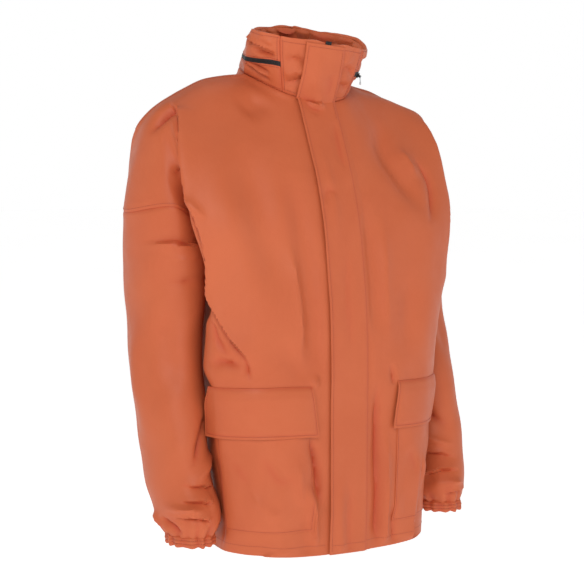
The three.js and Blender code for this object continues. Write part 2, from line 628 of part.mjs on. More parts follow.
// Collar zip slider and its pull tab, hung from a pin that runs along the zip
function collarSlider() {
  const k = lastColumn - SLIDER_COLUMN;
  const h = zipShare(k);
  const middle = collarPoint(k, h);
  const along = collarPoint(k - 1, h).sub(collarPoint(k + 1, h)).normalize();
  const up = collarPoint(k, h + 0.08).sub(collarPoint(k, h - 0.08));
  up.addScaledVector(along, -up.dot(along)).normalize();
  const out = along.clone().cross(up);
  if (out.x < 0) out.negate();
  const across = new THREE.Vector3().crossVectors(out, along);
  const seat = middle.clone().addScaledVector(out, COLLAR_CLOTH / 2 + LAYER_GAP + SLIDER_THICK / 2);
  const place = (geometry, origin) => {
    const m = new THREE.Matrix4().makeBasis(along, across, out);
    m.setPosition(origin);
    return geometry.applyMatrix4(m);
  };
  const body = place(new THREE.BoxGeometry(SLIDER_LONG, SLIDER_WIDE, SLIDER_THICK), seat);
  const pinAt = seat.clone().addScaledVector(out, SLIDER_THICK / 2 + PIN_RISE);
  let slider = solidOf(body);
  for (const end of [-1, 1]) {
    const lug = new THREE.BoxGeometry(1.2, 2.6, PIN_RISE + 1.6);
    lug.translate(end * (SLIDER_LONG / 2 - 0.9), 0, -(PIN_RISE - 0.6) / 2);
    slider = slider.add(solidOf(place(lug, pinAt)));
  }
  const pin = new THREE.CylinderGeometry(PIN_RADIUS, PIN_RADIUS, SLIDER_LONG - 1.2, 12).rotateZ(Math.PI / 2);
  slider = slider.add(solidOf(place(pin, pinAt)));
  add('collar_zip_slider', geometryOf(slider), BLACK, 0.4, 0.6);

  const down = new THREE.Vector3(0, 0, -1);
  down.addScaledVector(along, -down.dot(along)).normalize();
  const face = new THREE.Vector3().crossVectors(along, down);
  if (face.dot(out) < 0) face.negate();
  const tabBasis = new THREE.Matrix4().makeBasis(new THREE.Vector3().crossVectors(down, face), down, face);
  tabBasis.setPosition(pinAt);
  const knuckleRadius = PIN_RADIUS + 1.1;
  const boreRadius = PIN_RADIUS + 0.35;
  const half = TAB_WIDE / 2;
  const knuckle = new THREE.CylinderGeometry(knuckleRadius, knuckleRadius, TAB_WIDE, 12).rotateZ(Math.PI / 2);
  const plate = new THREE.BoxGeometry(TAB_WIDE, TAB_LONG, TAB_THICK).translate(0, TAB_LONG / 2, 0);
  const tip = new THREE.CylinderGeometry(half, half, TAB_THICK + 0.8, 12).rotateX(Math.PI / 2);
  tip.translate(0, TAB_LONG, 0);
  const bore = new THREE.CylinderGeometry(boreRadius, boreRadius, TAB_WIDE + 2, 12).rotateZ(Math.PI / 2);
  let tab = solidOf(knuckle.applyMatrix4(tabBasis)).add(solidOf(plate.applyMatrix4(tabBasis)));
  tab = tab.add(solidOf(tip.applyMatrix4(tabBasis))).subtract(solidOf(bore.applyMatrix4(tabBasis)));
  const mesh = add('collar_zip_pull', geometryOf(tab), GREY, 0.35, 0.8);
  const axis = new THREE.Vector3().crossVectors(down, face);
  mesh.userData.hinge = { pin: pinAt.toArray(), axis: axis.toArray() };
}
collarSlider();

export default group;
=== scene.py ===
"""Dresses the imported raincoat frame: fine cloth shells, folds, stitching, zip teeth, materials, light and camera.

Sizes in the tables and surfaces are millimetres, and metres once a mesh is made.
+X is the wearer's left, -Y the wearer's front and +Z up; the origin is the middle of the neck base.
"""

import math

import bpy
import numpy as np
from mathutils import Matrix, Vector


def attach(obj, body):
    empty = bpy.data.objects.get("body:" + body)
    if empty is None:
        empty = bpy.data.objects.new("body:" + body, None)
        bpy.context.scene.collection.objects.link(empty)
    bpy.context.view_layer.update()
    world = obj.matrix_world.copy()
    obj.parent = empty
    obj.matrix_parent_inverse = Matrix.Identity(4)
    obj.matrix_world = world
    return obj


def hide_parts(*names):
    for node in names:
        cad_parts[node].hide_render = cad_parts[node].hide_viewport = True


bl_info = {
    "name": "Raincoat dressing",
    "version": (1, 0, 0),
    "blender": (4, 5, 0),
    "location": "3D View > Sidebar > Raincoat",
    "description": "Builds the cloth, stitching, zips, materials and stage of a hip-length raincoat",
    "category": "Object",
}

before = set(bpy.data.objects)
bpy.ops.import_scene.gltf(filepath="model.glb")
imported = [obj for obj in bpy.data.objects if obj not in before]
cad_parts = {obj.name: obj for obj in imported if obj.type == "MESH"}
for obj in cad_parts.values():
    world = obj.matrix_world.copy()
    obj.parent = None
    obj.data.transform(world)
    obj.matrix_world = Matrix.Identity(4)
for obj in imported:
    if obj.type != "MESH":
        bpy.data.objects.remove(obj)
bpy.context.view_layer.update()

# Hang of the coat: the front swings to the wearer's right and the left side sits lower
FRONT_SWING = -11
SIDE_LEAN = 11
LEAN_SPAN = 340
HEM_RISE = 9

# Cloth and trim
CLOTH = 1.2
FLAP_CLOTH = 2.0
COLLAR_CLOTH = 1.4
ZIP_HALF = 5.2
FLAP_FREE_EDGE = -49
FLAP_SEWN_EDGE = 21
FLAP_TOP_DROP = 3
FLAP_TOP = {"right": -490, "left": -479}
FLAP_BOTTOM = {"right": -568, "left": -558}
FLAP_FLARE = 8
POCKET_TOP = -500
POCKET_BOTTOM = -715
FLAP_WING = 20

# Collar
RIM_HALF_WIDTH = 107
RIM_HALF_DEPTH = 63
RIM_CENTRE_Y = -25
RIM_FRONT_Z = 54
RIM_BACK_Z = 86
RIM_DROOP = 13
COLLAR_ZIP_TALL = 8
NECK_HALF = 16
SEAM_COLUMN = 4
LAST_COLUMN = 32

# Cuffs
CUFF_TALL = 15
CUFF_GATHERS = 13
CUFF_WAVE = 1.6

# Folds narrower than this have a crisp line; wider ones are soft swells and hollows
SOFT_WIDTH = 18

VALLEY = 6
SLEEVE_ROW = 4
LAP = 4

# Ribs of the yoke, from the centre line over the shoulder to the back of the arm.
# Columns: seam line, upper chest, chest, bust line, sleeve-seam level, each as x, y, z
FRONT_RIBS = (
    ((0, -58, -42), (0, -66, -64), (0, -85, -105), (0, -108, -160), (0, -128, -225)),
    ((58, -40, -28), (60, -55, -54), (63, -80, -102), (64, -107, -160), (62, -127, -225)),
    ((100, 26, 0), (114, -10, -27), (124, -55, -92), (126, -96, -158), (124, -123, -225)),
    ((165, 46, -12), (177, 8, -28), (186, -38, -86), (193, -80, -155), (192, -110, -225)),
    ((218, 60, -38), (231, 12, -48), (244, -28, -92), (249, -56, -150), (247, -76, -222)),
    ((226, 63, -42), (240, 15, -53), (251, -20, -95), (246, -42, -152), (203, -38, -242)),
    ((234, 67, -47), (248, 20, -58), (256, -8, -98), (242, -24, -156), (167, 42, -264)),
    ((248, 74, -59), (260, 33, -69), (268, 8, -104), (268, -14, -156), (257, -30, -208)),
    ((261, 85, -76), (273, 55, -90), (284, 50, -124), (293, 52, -168), (299, 54, -216)),
    ((264, 90, -84), (268, 97, -106), (269, 104, -138), (270, 109, -174), (271, 112, -215)),
)
BACK_RIBS = (
    ((0, 112, 20), (0, 125, -10), (0, 139, -70), (0, 147, -150), (0, 150, -225)),
    ((68, 92, 15), (66, 114, -12), (66, 136, -72), (66, 146, -150), (66, 149, -225)),
    ((100, 26, 0), (116, 74, -8), (126, 122, -68), (128, 142, -150), (126, 148, -225)),
    ((165, 46, -12), (178, 80, -27), (188, 114, -80), (190, 137, -150), (184, 147, -225)),
    ((218, 60, -38), (228, 86, -54), (236, 112, -94), (234, 133, -152), (222, 144, -226)),
    ((226, 63, -42), (235, 88, -60), (242, 112, -98), (236, 126, -156), (188, 110, -246)),
    ((234, 67, -47), (243, 90, -67), (248, 110, -103), (240, 116, -160), (167, 42, -264)),
    ((248, 74, -59), (256, 93, -80), (259, 109, -114), (256, 122, -162), (238, 130, -215)),
    ((264, 90, -84), (268, 97, -106), (269, 104, -138), (270, 109, -174), (271, 112, -215)),
)
# Body sections below the underarm: height, centre depth, corner, tuck behind it and side seam
SECTION_COLUMNS = ("z", "centre", "corner_x", "corner_y", "tuck_x", "tuck_y", "side_x", "side_y")
FRONT_SECTIONS = (
    (-292, -140, 228, -84, 186, -46, 158, 40),
    (-350, -148, 220, -88, 178, -50, 155, 36),
    (-408, -152, 212, -90, 178, -50, 162, 32),
    (-465, -153, 208, -86, 184, -46, 174, 26),
    (-526, -153, 203, -82, 188, -42, 181, 20),
    (-608, -153, 196, -80, 188, -44, 184, 14),
    (-690, -152, 190, -82, 180, -48, 178, 10),
    (-757, -150, 186, -82, 184, -46, 182, 12),
)
BACK_SECTIONS = (
    (-292, 151, 208, 142, 172, 100, 158, 40),
    (-350, 150, 200, 138, 168, 98, 155, 36),
    (-408, 149, 196, 134, 170, 94, 162, 32),
    (-465, 149, 195, 128, 178, 88, 174, 26),
    (-526, 149, 196, 120, 185, 80, 181, 20),
    (-608, 150, 197, 113, 190, 72, 184, 14),
    (-690, 151, 197, 110, 191, 70, 178, 10),
    (-757, 152, 198, 110, 192, 70, 182, 12),
)
# Share of the way across and of the depth, from the centre line to the corner of a section
ACROSS = ((0, 0), (0.27, 0.01), (0.53, 0.06), (0.8, 0.3), (1, 1))
# Sleeve sections: height, centre x, centre y, half width, half depth
SLEEVE_SECTIONS = (
    (-292, 233, 52, 62, 84),
    (-350, 236, 52, 58, 80),
    (-403, 239, 45, 56, 78),
    (-455, 244, 34, 54, 76),
    (-516, 245, 16, 52, 73),
    (-590, 247, -3, 49, 70),
    (-636, 246, -14, 48, 68),
    (-670, 242, -26, 48, 67),
    (-694, 240, -33, 46, 62),
    (-708, 241, -40, 40, 51),
    (-716, 242, -44, 35, 43),
)

# Folds of each piece: kind, depth, half width, share of the path over which it starts and ends,
# then its path as panel parameters u (across, from the centre line) and v (down, from the top seam)
FRONT_RIGHT_FOLDS = (
    ("drape", 5.5, 16, 0.04, 0.12, 3.95, 1.1, 4.0, 2.8, 3.92, 3.6, 3.74, 4.4, 3.86, 5.4, 3.95, 5.9,
     3.75, 6.4, 3.46, 7.1, 3.12, 7.65, 3.08, 8.1),
    ("ridge", 7.0, 22, 0.25, 0.30, 4.7, 6.2, 4.6, 7.2, 4.5, 8.6),
    ("trough", 3.5, 10, 0.30, 0.40, 4.2, 6.5, 3.9, 7.1, 3.5, 7.6),
    ("trough", 4.2, 10, 0.30, 0.40, 4.3, 7.8, 3.7, 7.72, 3.2, 7.86),
    ("trough", 2.4, 6, 0.30, 0.50, 3.14, 7.7, 3.1, 8.25),
    ("trough", 7.5, 11, 0.10, 0.60, 4.3, 1.05, 6.3, 1.15, 7.4, 1.65),
    ("trough", 5.0, 8, 0.35, 0.20, 4.65, 1.9, 4.75, 3.0, 4.5, 3.9),
    ("trough", 3.0, 7, 0.30, 0.50, 5.2, 3.1, 6.1, 2.95, 6.7, 3.1),
    ("ridge", 2.5, 6, 0.30, 0.50, 4.2, 3.55, 3.8, 3.75, 3.5, 4.1),
    ("trough", 4.0, 34, 0.35, 0.40, 2.1, 2.2, 2.35, 3.6, 2.2, 5.2, 2.3, 6.4),
    ("ridge", 3.0, 36, 0.40, 0.40, 3.1, 1.6, 3.05, 3.4, 2.95, 5.4),
    ("trough", 3.0, 20, 0.40, 0.40, 1.5, 0.9, 2.2, 1.7),
    ("trough", 3.6, 20, 0.30, 0.25, 1.45, 2.6, 1.25, 4.0, 1.18, 6.0, 1.14, 8.6),
    ("ridge", 3.0, 12, 0.30, 0.40, 1.62, 4.4, 1.55, 6.4, 1.62, 8.0),
    ("trough", 1.6, 18, 0.40, 0.30, 2.3, 7.1, 1.8, 7.9, 1.5, 8.4),
    ("ridge", 3.0, 6, 0.30, 0.50, 1.26, 8.45, 1.0, 8.1),
    ("trough", 5.0, 9, 0.30, 0.30, 1.5, 9.4, 1.2, 10.0, 1.05, 10.9),
    ("ridge", 4.5, 9, 0.30, 0.20, 1.75, 10.3, 1.35, 10.8, 1.25, 11.9),
    ("trough", 1.8, 18, 0.30, 0.20, 1.5, 10.9, 1.5, 11.4, 1.45, 12.0),
    ("ridge", 2.0, 22, 0.50, 0.05, 2.5, 9.8, 2.42, 11.0, 2.38, 12.0),
    ("trough", 1.8, 19, 0.50, 0.05, 3.15, 11.2, 2.9, 12.0),
    ("trough", 3.5, 12, 0.40, 0.20, 4.6, 9.4, 4.4, 10.6, 4.5, 12.0),
)
FRONT_LEFT_FOLDS = (
    ("drape", 4.0, 18, 0.12, 0.10, 3.9, 6.0, 3.74, 4.5, 3.94, 3.5, 4.02, 2.6, 3.96, 1.2),
    ("trough", 4.5, 20, 0.35, 0.35, 2.35, 1.5, 1.95, 2.3, 2.3, 3.1, 2.75, 3.9),
    ("trough", 4.0, 11, 0.35, 0.40, 2.85, 2.4, 3.2, 3.0, 3.1, 3.6, 2.75, 4.1),
    ("ridge", 3.0, 16, 0.40, 0.40, 2.5, 2.2, 2.75, 3.0),
    ("trough", 2.8, 19, 0.30, 0.30, 0.72, 3.3, 0.82, 5.0, 0.9, 7.2),
    ("ridge", 2.5, 16, 0.40, 0.40, 1.3, 3.6, 1.25, 5.6, 1.35, 7.4),
    ("trough", 3.0, 26, 0.40, 0.40, 2.0, 4.9, 2.1, 6.4, 1.9, 7.8),
    ("trough", 4.5, 11, 0.25, 0.15, 0.92, 8.2, 1.0, 9.8, 1.12, 12.0),
    ("ridge", 3.5, 11, 0.40, 0.10, 1.32, 9.2, 1.4, 10.8, 1.42, 12.0),
    ("trough", 2.5, 9, 0.40, 0.20, 1.62, 10.9, 1.85, 12.0),
    ("trough", 2.5, 5, 0.20, 0.60, 1.55, 8.35, 1.4, 7.7),
    ("trough", 5.0, 16, 0.20, 0.40, 4.6, 6.2, 4.3, 7.4, 3.7, 8.0),
    ("trough", 3.0, 8, 0.30, 0.40, 4.5, 1.2, 6.2, 1.3, 7.3, 1.9),
    ("trough", 4.0, 10, 0.30, 0.30, 4.7, 2.1, 4.7, 3.8),
    ("drape", 4.0, 18, 0.05, 0.50, 2.6, 12.0, 2.7, 10.9, 2.7, 9.9),
)
BACK_FOLDS = (
    ("trough", 3.0, 16, 0.40, 0.40, -3.6, 0.7, -3.0, 1.8, -2.4, 2.6),
    ("trough", 4.0, 14, 0.35, 0.40, 3.7, 0.9, 3.0, 2.0, 2.5, 3.2),
    ("ridge", 3.0, 30, 0.40, 0.40, -1.2, 1.8, -1.3, 4.4, -1.0, 6.8),
    ("trough", 4.5, 26, 0.35, 0.30, 0.6, 2.6, 0.4, 5.4, 0.8, 9.2),
    ("ridge", 4.0, 24, 0.35, 0.10, 1.7, 4.6, 1.6, 8.2, 1.9, 12.0),
    ("trough", 4.5, 20, 0.35, 0.08, -2.2, 5.2, -2.0, 8.6, -2.3, 12.0),
    ("drape", 5.0, 22, 0.30, 0.05, -3.2, 7.2, -3.1, 9.6, -3.3, 12.0),
    ("trough", 4.0, 16, 0.35, 0.05, 3.0, 7.8, 2.8, 10.0, 3.0, 12.0),
    ("ridge", 3.5, 13, 0.40, 0.05, -0.7, 9.0, -0.6, 12.0),
    ("trough", 3.0, 12, 0.40, 0.10, -1.4, 10.2, -1.5, 12.0),
    ("trough", 5.5, 15, 0.20, 0.50, -5.3, 4.3, -4.1, 4.9, -3.0, 4.7),
    ("trough", 5.0, 13, 0.20, 0.50, 5.3, 4.4, 4.0, 5.2, 3.1, 5.1),
    ("ridge", 3.5, 11, 0.25, 0.50, 5.4, 5.4, 4.2, 5.9, 3.5, 6.0),
    ("trough", 4.0, 11, 0.25, 0.50, -5.5, 5.7, -4.4, 6.4, -3.6, 6.5),
    ("trough", 3.5, 9, 0.25, 0.40, -4.8, 1.4, -4.6, 2.6, -4.8, 3.6),
    ("trough", 3.5, 9, 0.25, 0.40, 4.7, 1.7, 4.6, 2.9, 4.9, 3.8),
)
SLEEVE_RIGHT_FOLDS = (
    ("drape", 5.0, 14, 0.05, 0.70, 6.4, 0.62, 7.1, 0.66, 7.8, 0.62),
    ("ridge", 3.5, 10, 0.50, 0.20, 7.5, 0.90, 6.9, 0.95, 6.3, 0.85),
    ("trough", 4.4, 9, 0.60, 0.20, 7.4, 1.55, 6.9, 1.50, 6.3, 1.48),
    ("trough", 3.5, 24, 0.40, 0.40, 7.2, 1.9, 7.3, 3.4, 7.1, 4.8),
    ("ridge", 3.0, 20, 0.40, 0.40, 7.8, 2.4, 7.9, 4.2, 7.7, 5.8),
    ("trough", 6.9, 8, 0.20, 0.60, 6.45, 5.2, 6.75, 5.9, 7.05, 6.5),
    ("ridge", 4.4, 8, 0.20, 0.60, 6.3, 6.0, 6.7, 6.6, 7.2, 6.9),
    ("drape", 4.7, 8, 0.60, 0.12, 7.4, 6.85, 6.95, 6.95, 6.5, 7.1),
    ("drape", 4.7, 9, 0.60, 0.12, 7.5, 7.6, 7.1, 7.6, 6.6, 7.8),
    ("ridge", 5.0, 7, 0.30, 0.50, 6.8, 8.2, 7.3, 8.0, 7.8, 8.1),
    ("drape", 4.7, 8, 0.60, 0.12, 7.7, 8.7, 7.2, 8.5, 6.7, 8.8),
    ("trough", 5.6, 6, 0.30, 0.20, 7.9, 8.7, 7.7, 9.4, 7.5, 10.4),
    ("ridge", 4.4, 6, 0.30, 0.20, 8.2, 8.4, 8.0, 9.4, 7.8, 10.4),
    ("trough", 5.0, 8, 0.40, 0.30, 8.7, 7.6, 8.5, 8.6, 8.5, 10.0),
    ("trough", 4.5, 11, 0.30, 0.50, 10.9, 0.7, 10.3, 1.2, 9.7, 1.3),
    ("trough", 4.0, 10, 0.30, 0.50, 10.9, 1.9, 10.2, 2.4, 9.5, 2.4),
    ("ridge", 3.5, 12, 0.30, 0.50, 10.8, 3.1, 10.0, 3.5, 9.4, 3.3),
    ("trough", 4.5, 10, 0.30, 0.50, 10.8, 4.6, 10.1, 5.2, 9.4, 5.2),
    ("trough", 5.6, 9, 0.30, 0.50, 10.7, 6.4, 10.1, 7.0, 9.3, 7.0),
    ("trough", 5.0, 8, 0.30, 0.40, 10.4, 7.9, 9.9, 8.7, 9.7, 9.9),
    ("ridge", 4.4, 8, 0.30, 0.40, 9.6, 7.9, 9.2, 8.9, 9.1, 10.0),
)
SLEEVE_LEFT_FOLDS = (
    ("trough", 5.0, 11, 0.20, 0.60, 6.3, 0.5, 6.9, 0.7, 7.6, 0.6),
    ("trough", 3.5, 20, 0.40, 0.40, 7.0, 1.6, 7.2, 3.2, 7.0, 4.6),
    ("trough", 6.2, 9, 0.25, 0.50, 6.15, 5.0, 6.5, 5.7, 6.9, 6.1),
    ("ridge", 5.0, 9, 0.25, 0.50, 6.1, 6.1, 6.6, 6.5, 7.0, 6.6),
    ("drape", 4.7, 9, 0.12, 0.60, 6.2, 7, 6.6, 6.9, 7.1, 7.2),
    ("drape", 4.7, 8, 0.12, 0.60, 6.3, 8, 6.7, 7.6, 7.2, 7.9),
    ("ridge", 5.0, 7, 0.25, 0.50, 6.4, 8.6, 6.9, 8.4, 7.3, 8.6),
    ("drape", 4.2, 8, 0.12, 0.60, 6.6, 9.4, 7, 9, 7.6, 9.3),
    ("trough", 5.0, 8, 0.40, 0.30, 8.3, 7.2, 8.2, 8.4, 8.4, 10.0),
    ("trough", 4.0, 10, 0.30, 0.50, 8.9, 0.8, 8.4, 1.3, 7.8, 1.2),
    ("trough", 4.0, 12, 0.30, 0.50, 10.9, 1.2, 10.1, 1.8, 9.5, 1.7),
    ("ridge", 3.5, 12, 0.30, 0.50, 10.8, 2.5, 10.1, 3.0, 9.3, 2.9),
    ("trough", 4.5, 10, 0.30, 0.50, 10.8, 4.1, 10.2, 4.5, 9.5, 4.8),
    ("trough", 5.6, 9, 0.30, 0.50, 10.7, 6.0, 9.9, 6.4, 9.2, 6.8),
    ("trough", 5.0, 8, 0.30, 0.40, 10.2, 7.7, 9.8, 8.6, 9.8, 9.9),
)
# Collar folds: u runs round the neck from the wearer's right front edge, v from neck seam to rim
COLLAR_FOLDS = (
    ("drape", 4.0, 6, 0.20, 0.40, 9.5, 0.78, 7.4, 0.80, 5.2, 0.72, 4.2, 0.70),
    ("trough", 3.0, 4, 0.20, 0.50, 4.3, 0.62, 6.0, 0.60, 7.6, 0.66),
    ("ridge", 3.0, 5, 0.30, 0.50, 4.4, 0.84, 5.6, 0.90, 7.0, 0.88),
    ("trough", 3.5, 4, 0.30, 0.40, 7.4, 0.70, 8.6, 0.86, 9.4, 0.93),
    ("trough", 1.6, 5, 0.20, 0.30, 1.2, 0.60, 2.6, 0.66, 3.9, 0.56),
    ("trough", 1.8, 5, 0.20, 0.20, 1.4, 0.38, 2.4, 0.28, 3.9, 0.18),
    ("ridge", 1.4, 6, 0.20, 0.20, 1.3, 0.48, 2.6, 0.44, 3.9, 0.34),
    ("trough", 3.0, 4, 0.30, 0.30, 9.3, 0.30, 7.4, 0.22, 5.0, 0.12),
    ("trough", 3.0, 4, 0.30, 0.30, 8.8, 0.40, 7.0, 0.30, 5.0, 0.26),
    ("ridge", 2.5, 4, 0.30, 0.30, 9.2, 0.36, 7.2, 0.26, 5.2, 0.18),
    ("trough", 3.5, 5, 0.20, 0.40, 27.8, 0.30, 26.0, 0.24, 24.4, 0.34),
    ("trough", 3.0, 5, 0.20, 0.40, 27.6, 0.70, 25.6, 0.78, 23.6, 0.70),
    ("ridge", 3.0, 6, 0.20, 0.40, 27.4, 0.86, 25.0, 0.90, 22.6, 0.84),
    ("trough", 1.8, 5, 0.20, 0.30, 31.0, 0.20, 30.0, 0.30, 28.2, 0.24),
    ("trough", 1.6, 5, 0.20, 0.30, 28.2, 0.52, 29.8, 0.60, 31.0, 0.52),
    ("trough", 3.5, 5, 0.30, 0.30, 12.0, 0.72, 14.5, 0.80, 17.0, 0.74),
    ("trough", 3.5, 5, 0.30, 0.30, 16.5, 0.86, 19.0, 0.82, 21.5, 0.88),
    ("ridge", 3.5, 6, 0.30, 0.30, 13.0, 0.62, 16.0, 0.60, 19.0, 0.66),
    ("trough", 3.0, 5, 0.30, 0.30, 11.5, 0.16, 14.5, 0.22, 18.0, 0.14),
    ("trough", 3.0, 5, 0.30, 0.30, 18.0, 0.26, 20.5, 0.18, 23.0, 0.24),
)
FLAP_FOLDS = (
    ("trough", 4.0, 6, 0.20, 0.30, -47, 0.104, -30, 0.118, -12, 0.110),
    ("trough", 3.0, 6, 0.30, 0.30, -6, 0.128, -22, 0.134, -40, 0.124),
    ("ridge", 3.6, 5, 0.20, 0.30, -4, 0.116, -20, 0.126, -40, 0.112),
    ("trough", 2.5, 8, 0.30, 0.30, -2, 0.055, 2, 0.075, 0, 0.105),
    ("ridge", 2.0, 14, 0.40, 0.40, -20, 0.02, -26, 0.07, -22, 0.1),
    ("trough", 2.5, 9, 0.40, 0.40, 12, 0.15, 8, 0.20, 10, 0.26),
    ("trough", 1.6, 10, 0.40, 0.40, -44, 0.33, -30, 0.30, -12, 0.31),
    ("ridge", 1.6, 14, 0.40, 0.40, -30, 0.2, -24, 0.3, -28, 0.42),
    ("trough", 1.4, 12, 0.40, 0.40, -10, 0.4, -14, 0.52, -8, 0.62),
    ("trough", 1.6, 9, 0.40, 0.10, -8, 0.86, -14, 0.93, -10, 1.0),
    ("ridge", 1.8, 9, 0.40, 0.10, -26, 0.84, -30, 0.92, -26, 1.0),
)
POCKET_FOLDS = {
    "right": (
        ("trough", 2.2, 12, 0.40, 0.40, 2.9, 9.8, 2.4, 10.3, 1.9, 10.2),
        ("ridge", 2.5, 14, 0.40, 0.40, 3.3, 10.4, 2.7, 10.9, 2.2, 10.8),
        ("trough", 2.0, 10, 0.40, 0.40, 3.6, 9.9, 3.2, 10.4),
        ("ridge", 2.5, 12, 0.40, 0.20, 1.9, 9.8, 1.75, 10.8),
    ),
    "left": (
        ("trough", 1.8, 10, 0.40, 0.40, 2.2, 9.8, 2.6, 10.4),
        ("ridge", 2.0, 12, 0.40, 0.40, 2.9, 9.9, 3.1, 10.8),
    ),
}


def ease(t):
    t = np.clip(t, 0, 1)
    return t * t * (3 - 2 * t)


def steps(counts, near=()):
    """Parameters from 0 to the last span, with each span's number of steps and extra ones near given values."""
    marks = [0.0]
    for span, count in enumerate(counts):
        marks += [span + k / count for k in range(1, count + 1)]
    return np.array(sorted(set(marks) | {float(x) for x in near}))


def hang(p, swings):
    """The hang of the whole coat on points of the body."""
    swing = FRONT_SWING * ease((24 - p[..., 1]) / 80) if swings else 0.0
    x = p[..., 0] + swing
    lean = SIDE_LEAN * (1 - 0.8 * ease((-420 - p[..., 2]) / 320)) * np.sin(math.pi * x / LEAN_SPAN)
    rise = HEM_RISE * ease((-690 - p[..., 2]) / 67) * np.minimum(1, (p[..., 0] / 190) ** 2)
    return np.stack([x, p[..., 1], p[..., 2] - lean + rise], -1)


def through(points, ts, before=None, beyond=None, corners=()):
    """Centripetal curves through points (count, ..., 3) at parameters ts, broken at the given corners."""
    points = np.asarray(points, float)
    ts = np.asarray(ts, float)
    ends = [0, *corners, len(points) - 1]
    out = np.zeros((len(ts),) + points.shape[1:])
    for k in range(len(ends) - 1):
        part = points[ends[k]:ends[k + 1] + 1]
        lead = 0
        if k == 0 and before is not None:
            part = np.concatenate([before[None], part])
            lead = 1
        if k + 2 == len(ends) and beyond is not None:
            part = np.concatenate([part, beyond[None]])
        pick = (ts > ends[k]) if k else (ts >= ends[0])
        if k + 2 < len(ends):
            pick = pick & (ts <= ends[k + 1])
        t = ts[pick] - ends[k] + lead
        i = np.clip(np.floor(t).astype(int), 0, len(part) - 2)
        w = (t - i).reshape((-1,) + (1,) * (points.ndim - 1))
        run = np.concatenate([2 * part[:1] - part[1:2], part, 2 * part[-1:] - part[-2:-1]])
        a, b, c, d = (run[i + n] for n in range(4))
        gap = [np.maximum(((q - p) ** 2).sum(-1, keepdims=True), 1e-16) ** 0.25 for p, q in ((a, b), (b, c), (c, d))]
        start = ((b - a) / gap[0] - (c - a) / (gap[0] + gap[1]) + (c - b) / gap[1]) * gap[1]
        end = ((c - b) / gap[1] - (d - b) / (gap[1] + gap[2]) + (d - c) / gap[2]) * gap[1]
        out[pick] = b + w * start + w ** 2 * (3 * (c - b) - 2 * start - end) + w ** 3 * (2 * (b - c) + start + end)
    return out


def control_rows(back, side):
    """Control points of one half panel: five yoke levels, then the body sections."""
    ribs = np.array(BACK_RIBS if back else FRONT_RIBS, float) * [side, 1, 1]
    rows = []
    for level in range(SLEEVE_ROW + 1):
        row = hang(ribs[:, level], False)
        if not back:
            row[:VALLEY] = hang(ribs[:VALLEY, level], True)
        rows.append(row)
    for section in BACK_SECTIONS if back else FRONT_SECTIONS:
        s = dict(zip(SECTION_COLUMNS, section))
        row = [(side * s["corner_x"] * a, s["centre"] + (s["corner_y"] - s["centre"]) * d, s["z"]) for a, d in ACROSS]
        row += [(side * s["tuck_x"], s["tuck_y"], s["z"]), (side * s["side_x"], s["side_y"], s["z"])]
        rows.append(hang(np.array(row, float), not back))
    return rows


def half_panel(back, side, us, vs):
    """Points of one half of the front or back; the cap over the arm ends at the sleeve seam."""
    control = control_rows(back, side)
    other = control_rows(not back, side)
    opposite = control_rows(back, -side)
    cap_end = len(other[0]) - 2
    body = us <= VALLEY
    rows = []
    for r, row in enumerate(control):
        below = r > SLEEVE_ROW
        before = opposite[r][1]
        beyond = other[r][VALLEY - 1] if below else other[r][cap_end]
        if r == 0:
            rows.append(through(row, us, beyond=beyond, corners=(2,)))
        elif r == SLEEVE_ROW:
            inner = through(row[:VALLEY + 1], us[body], before, other[r][VALLEY - 1])
            cap = through(row[VALLEY:], us[~body] - VALLEY, other[r][VALLEY + 1], beyond)
            rows.append(np.concatenate([inner, cap]))
        else:
            rows.append(through(row, us[body] if below else us, before, beyond))
    width = int(body.sum())
    grid = np.full((len(vs), len(us), 3), np.nan)
    columns = np.stack([row[:width] for row in rows])
    split = np.clip((us[body] - VALLEY) * 3 + 1, 0, 1)[None, :, None]
    grid[:, :width] = through(columns, vs) * (1 - split) + through(columns, vs, corners=(SLEEVE_ROW,)) * split
    yoke = vs <= SLEEVE_ROW
    grid[yoke, width:] = through(np.stack([row[width:] for row in rows[:SLEEVE_ROW + 1]]), vs[yoke])
    return grid


def row_at(z):
    """Row parameter of a height below the underarm."""
    heights = np.array([s[0] for s in FRONT_SECTIONS], float)
    return SLEEVE_ROW + 1 + np.interp(-z, -heights, np.arange(len(heights)))


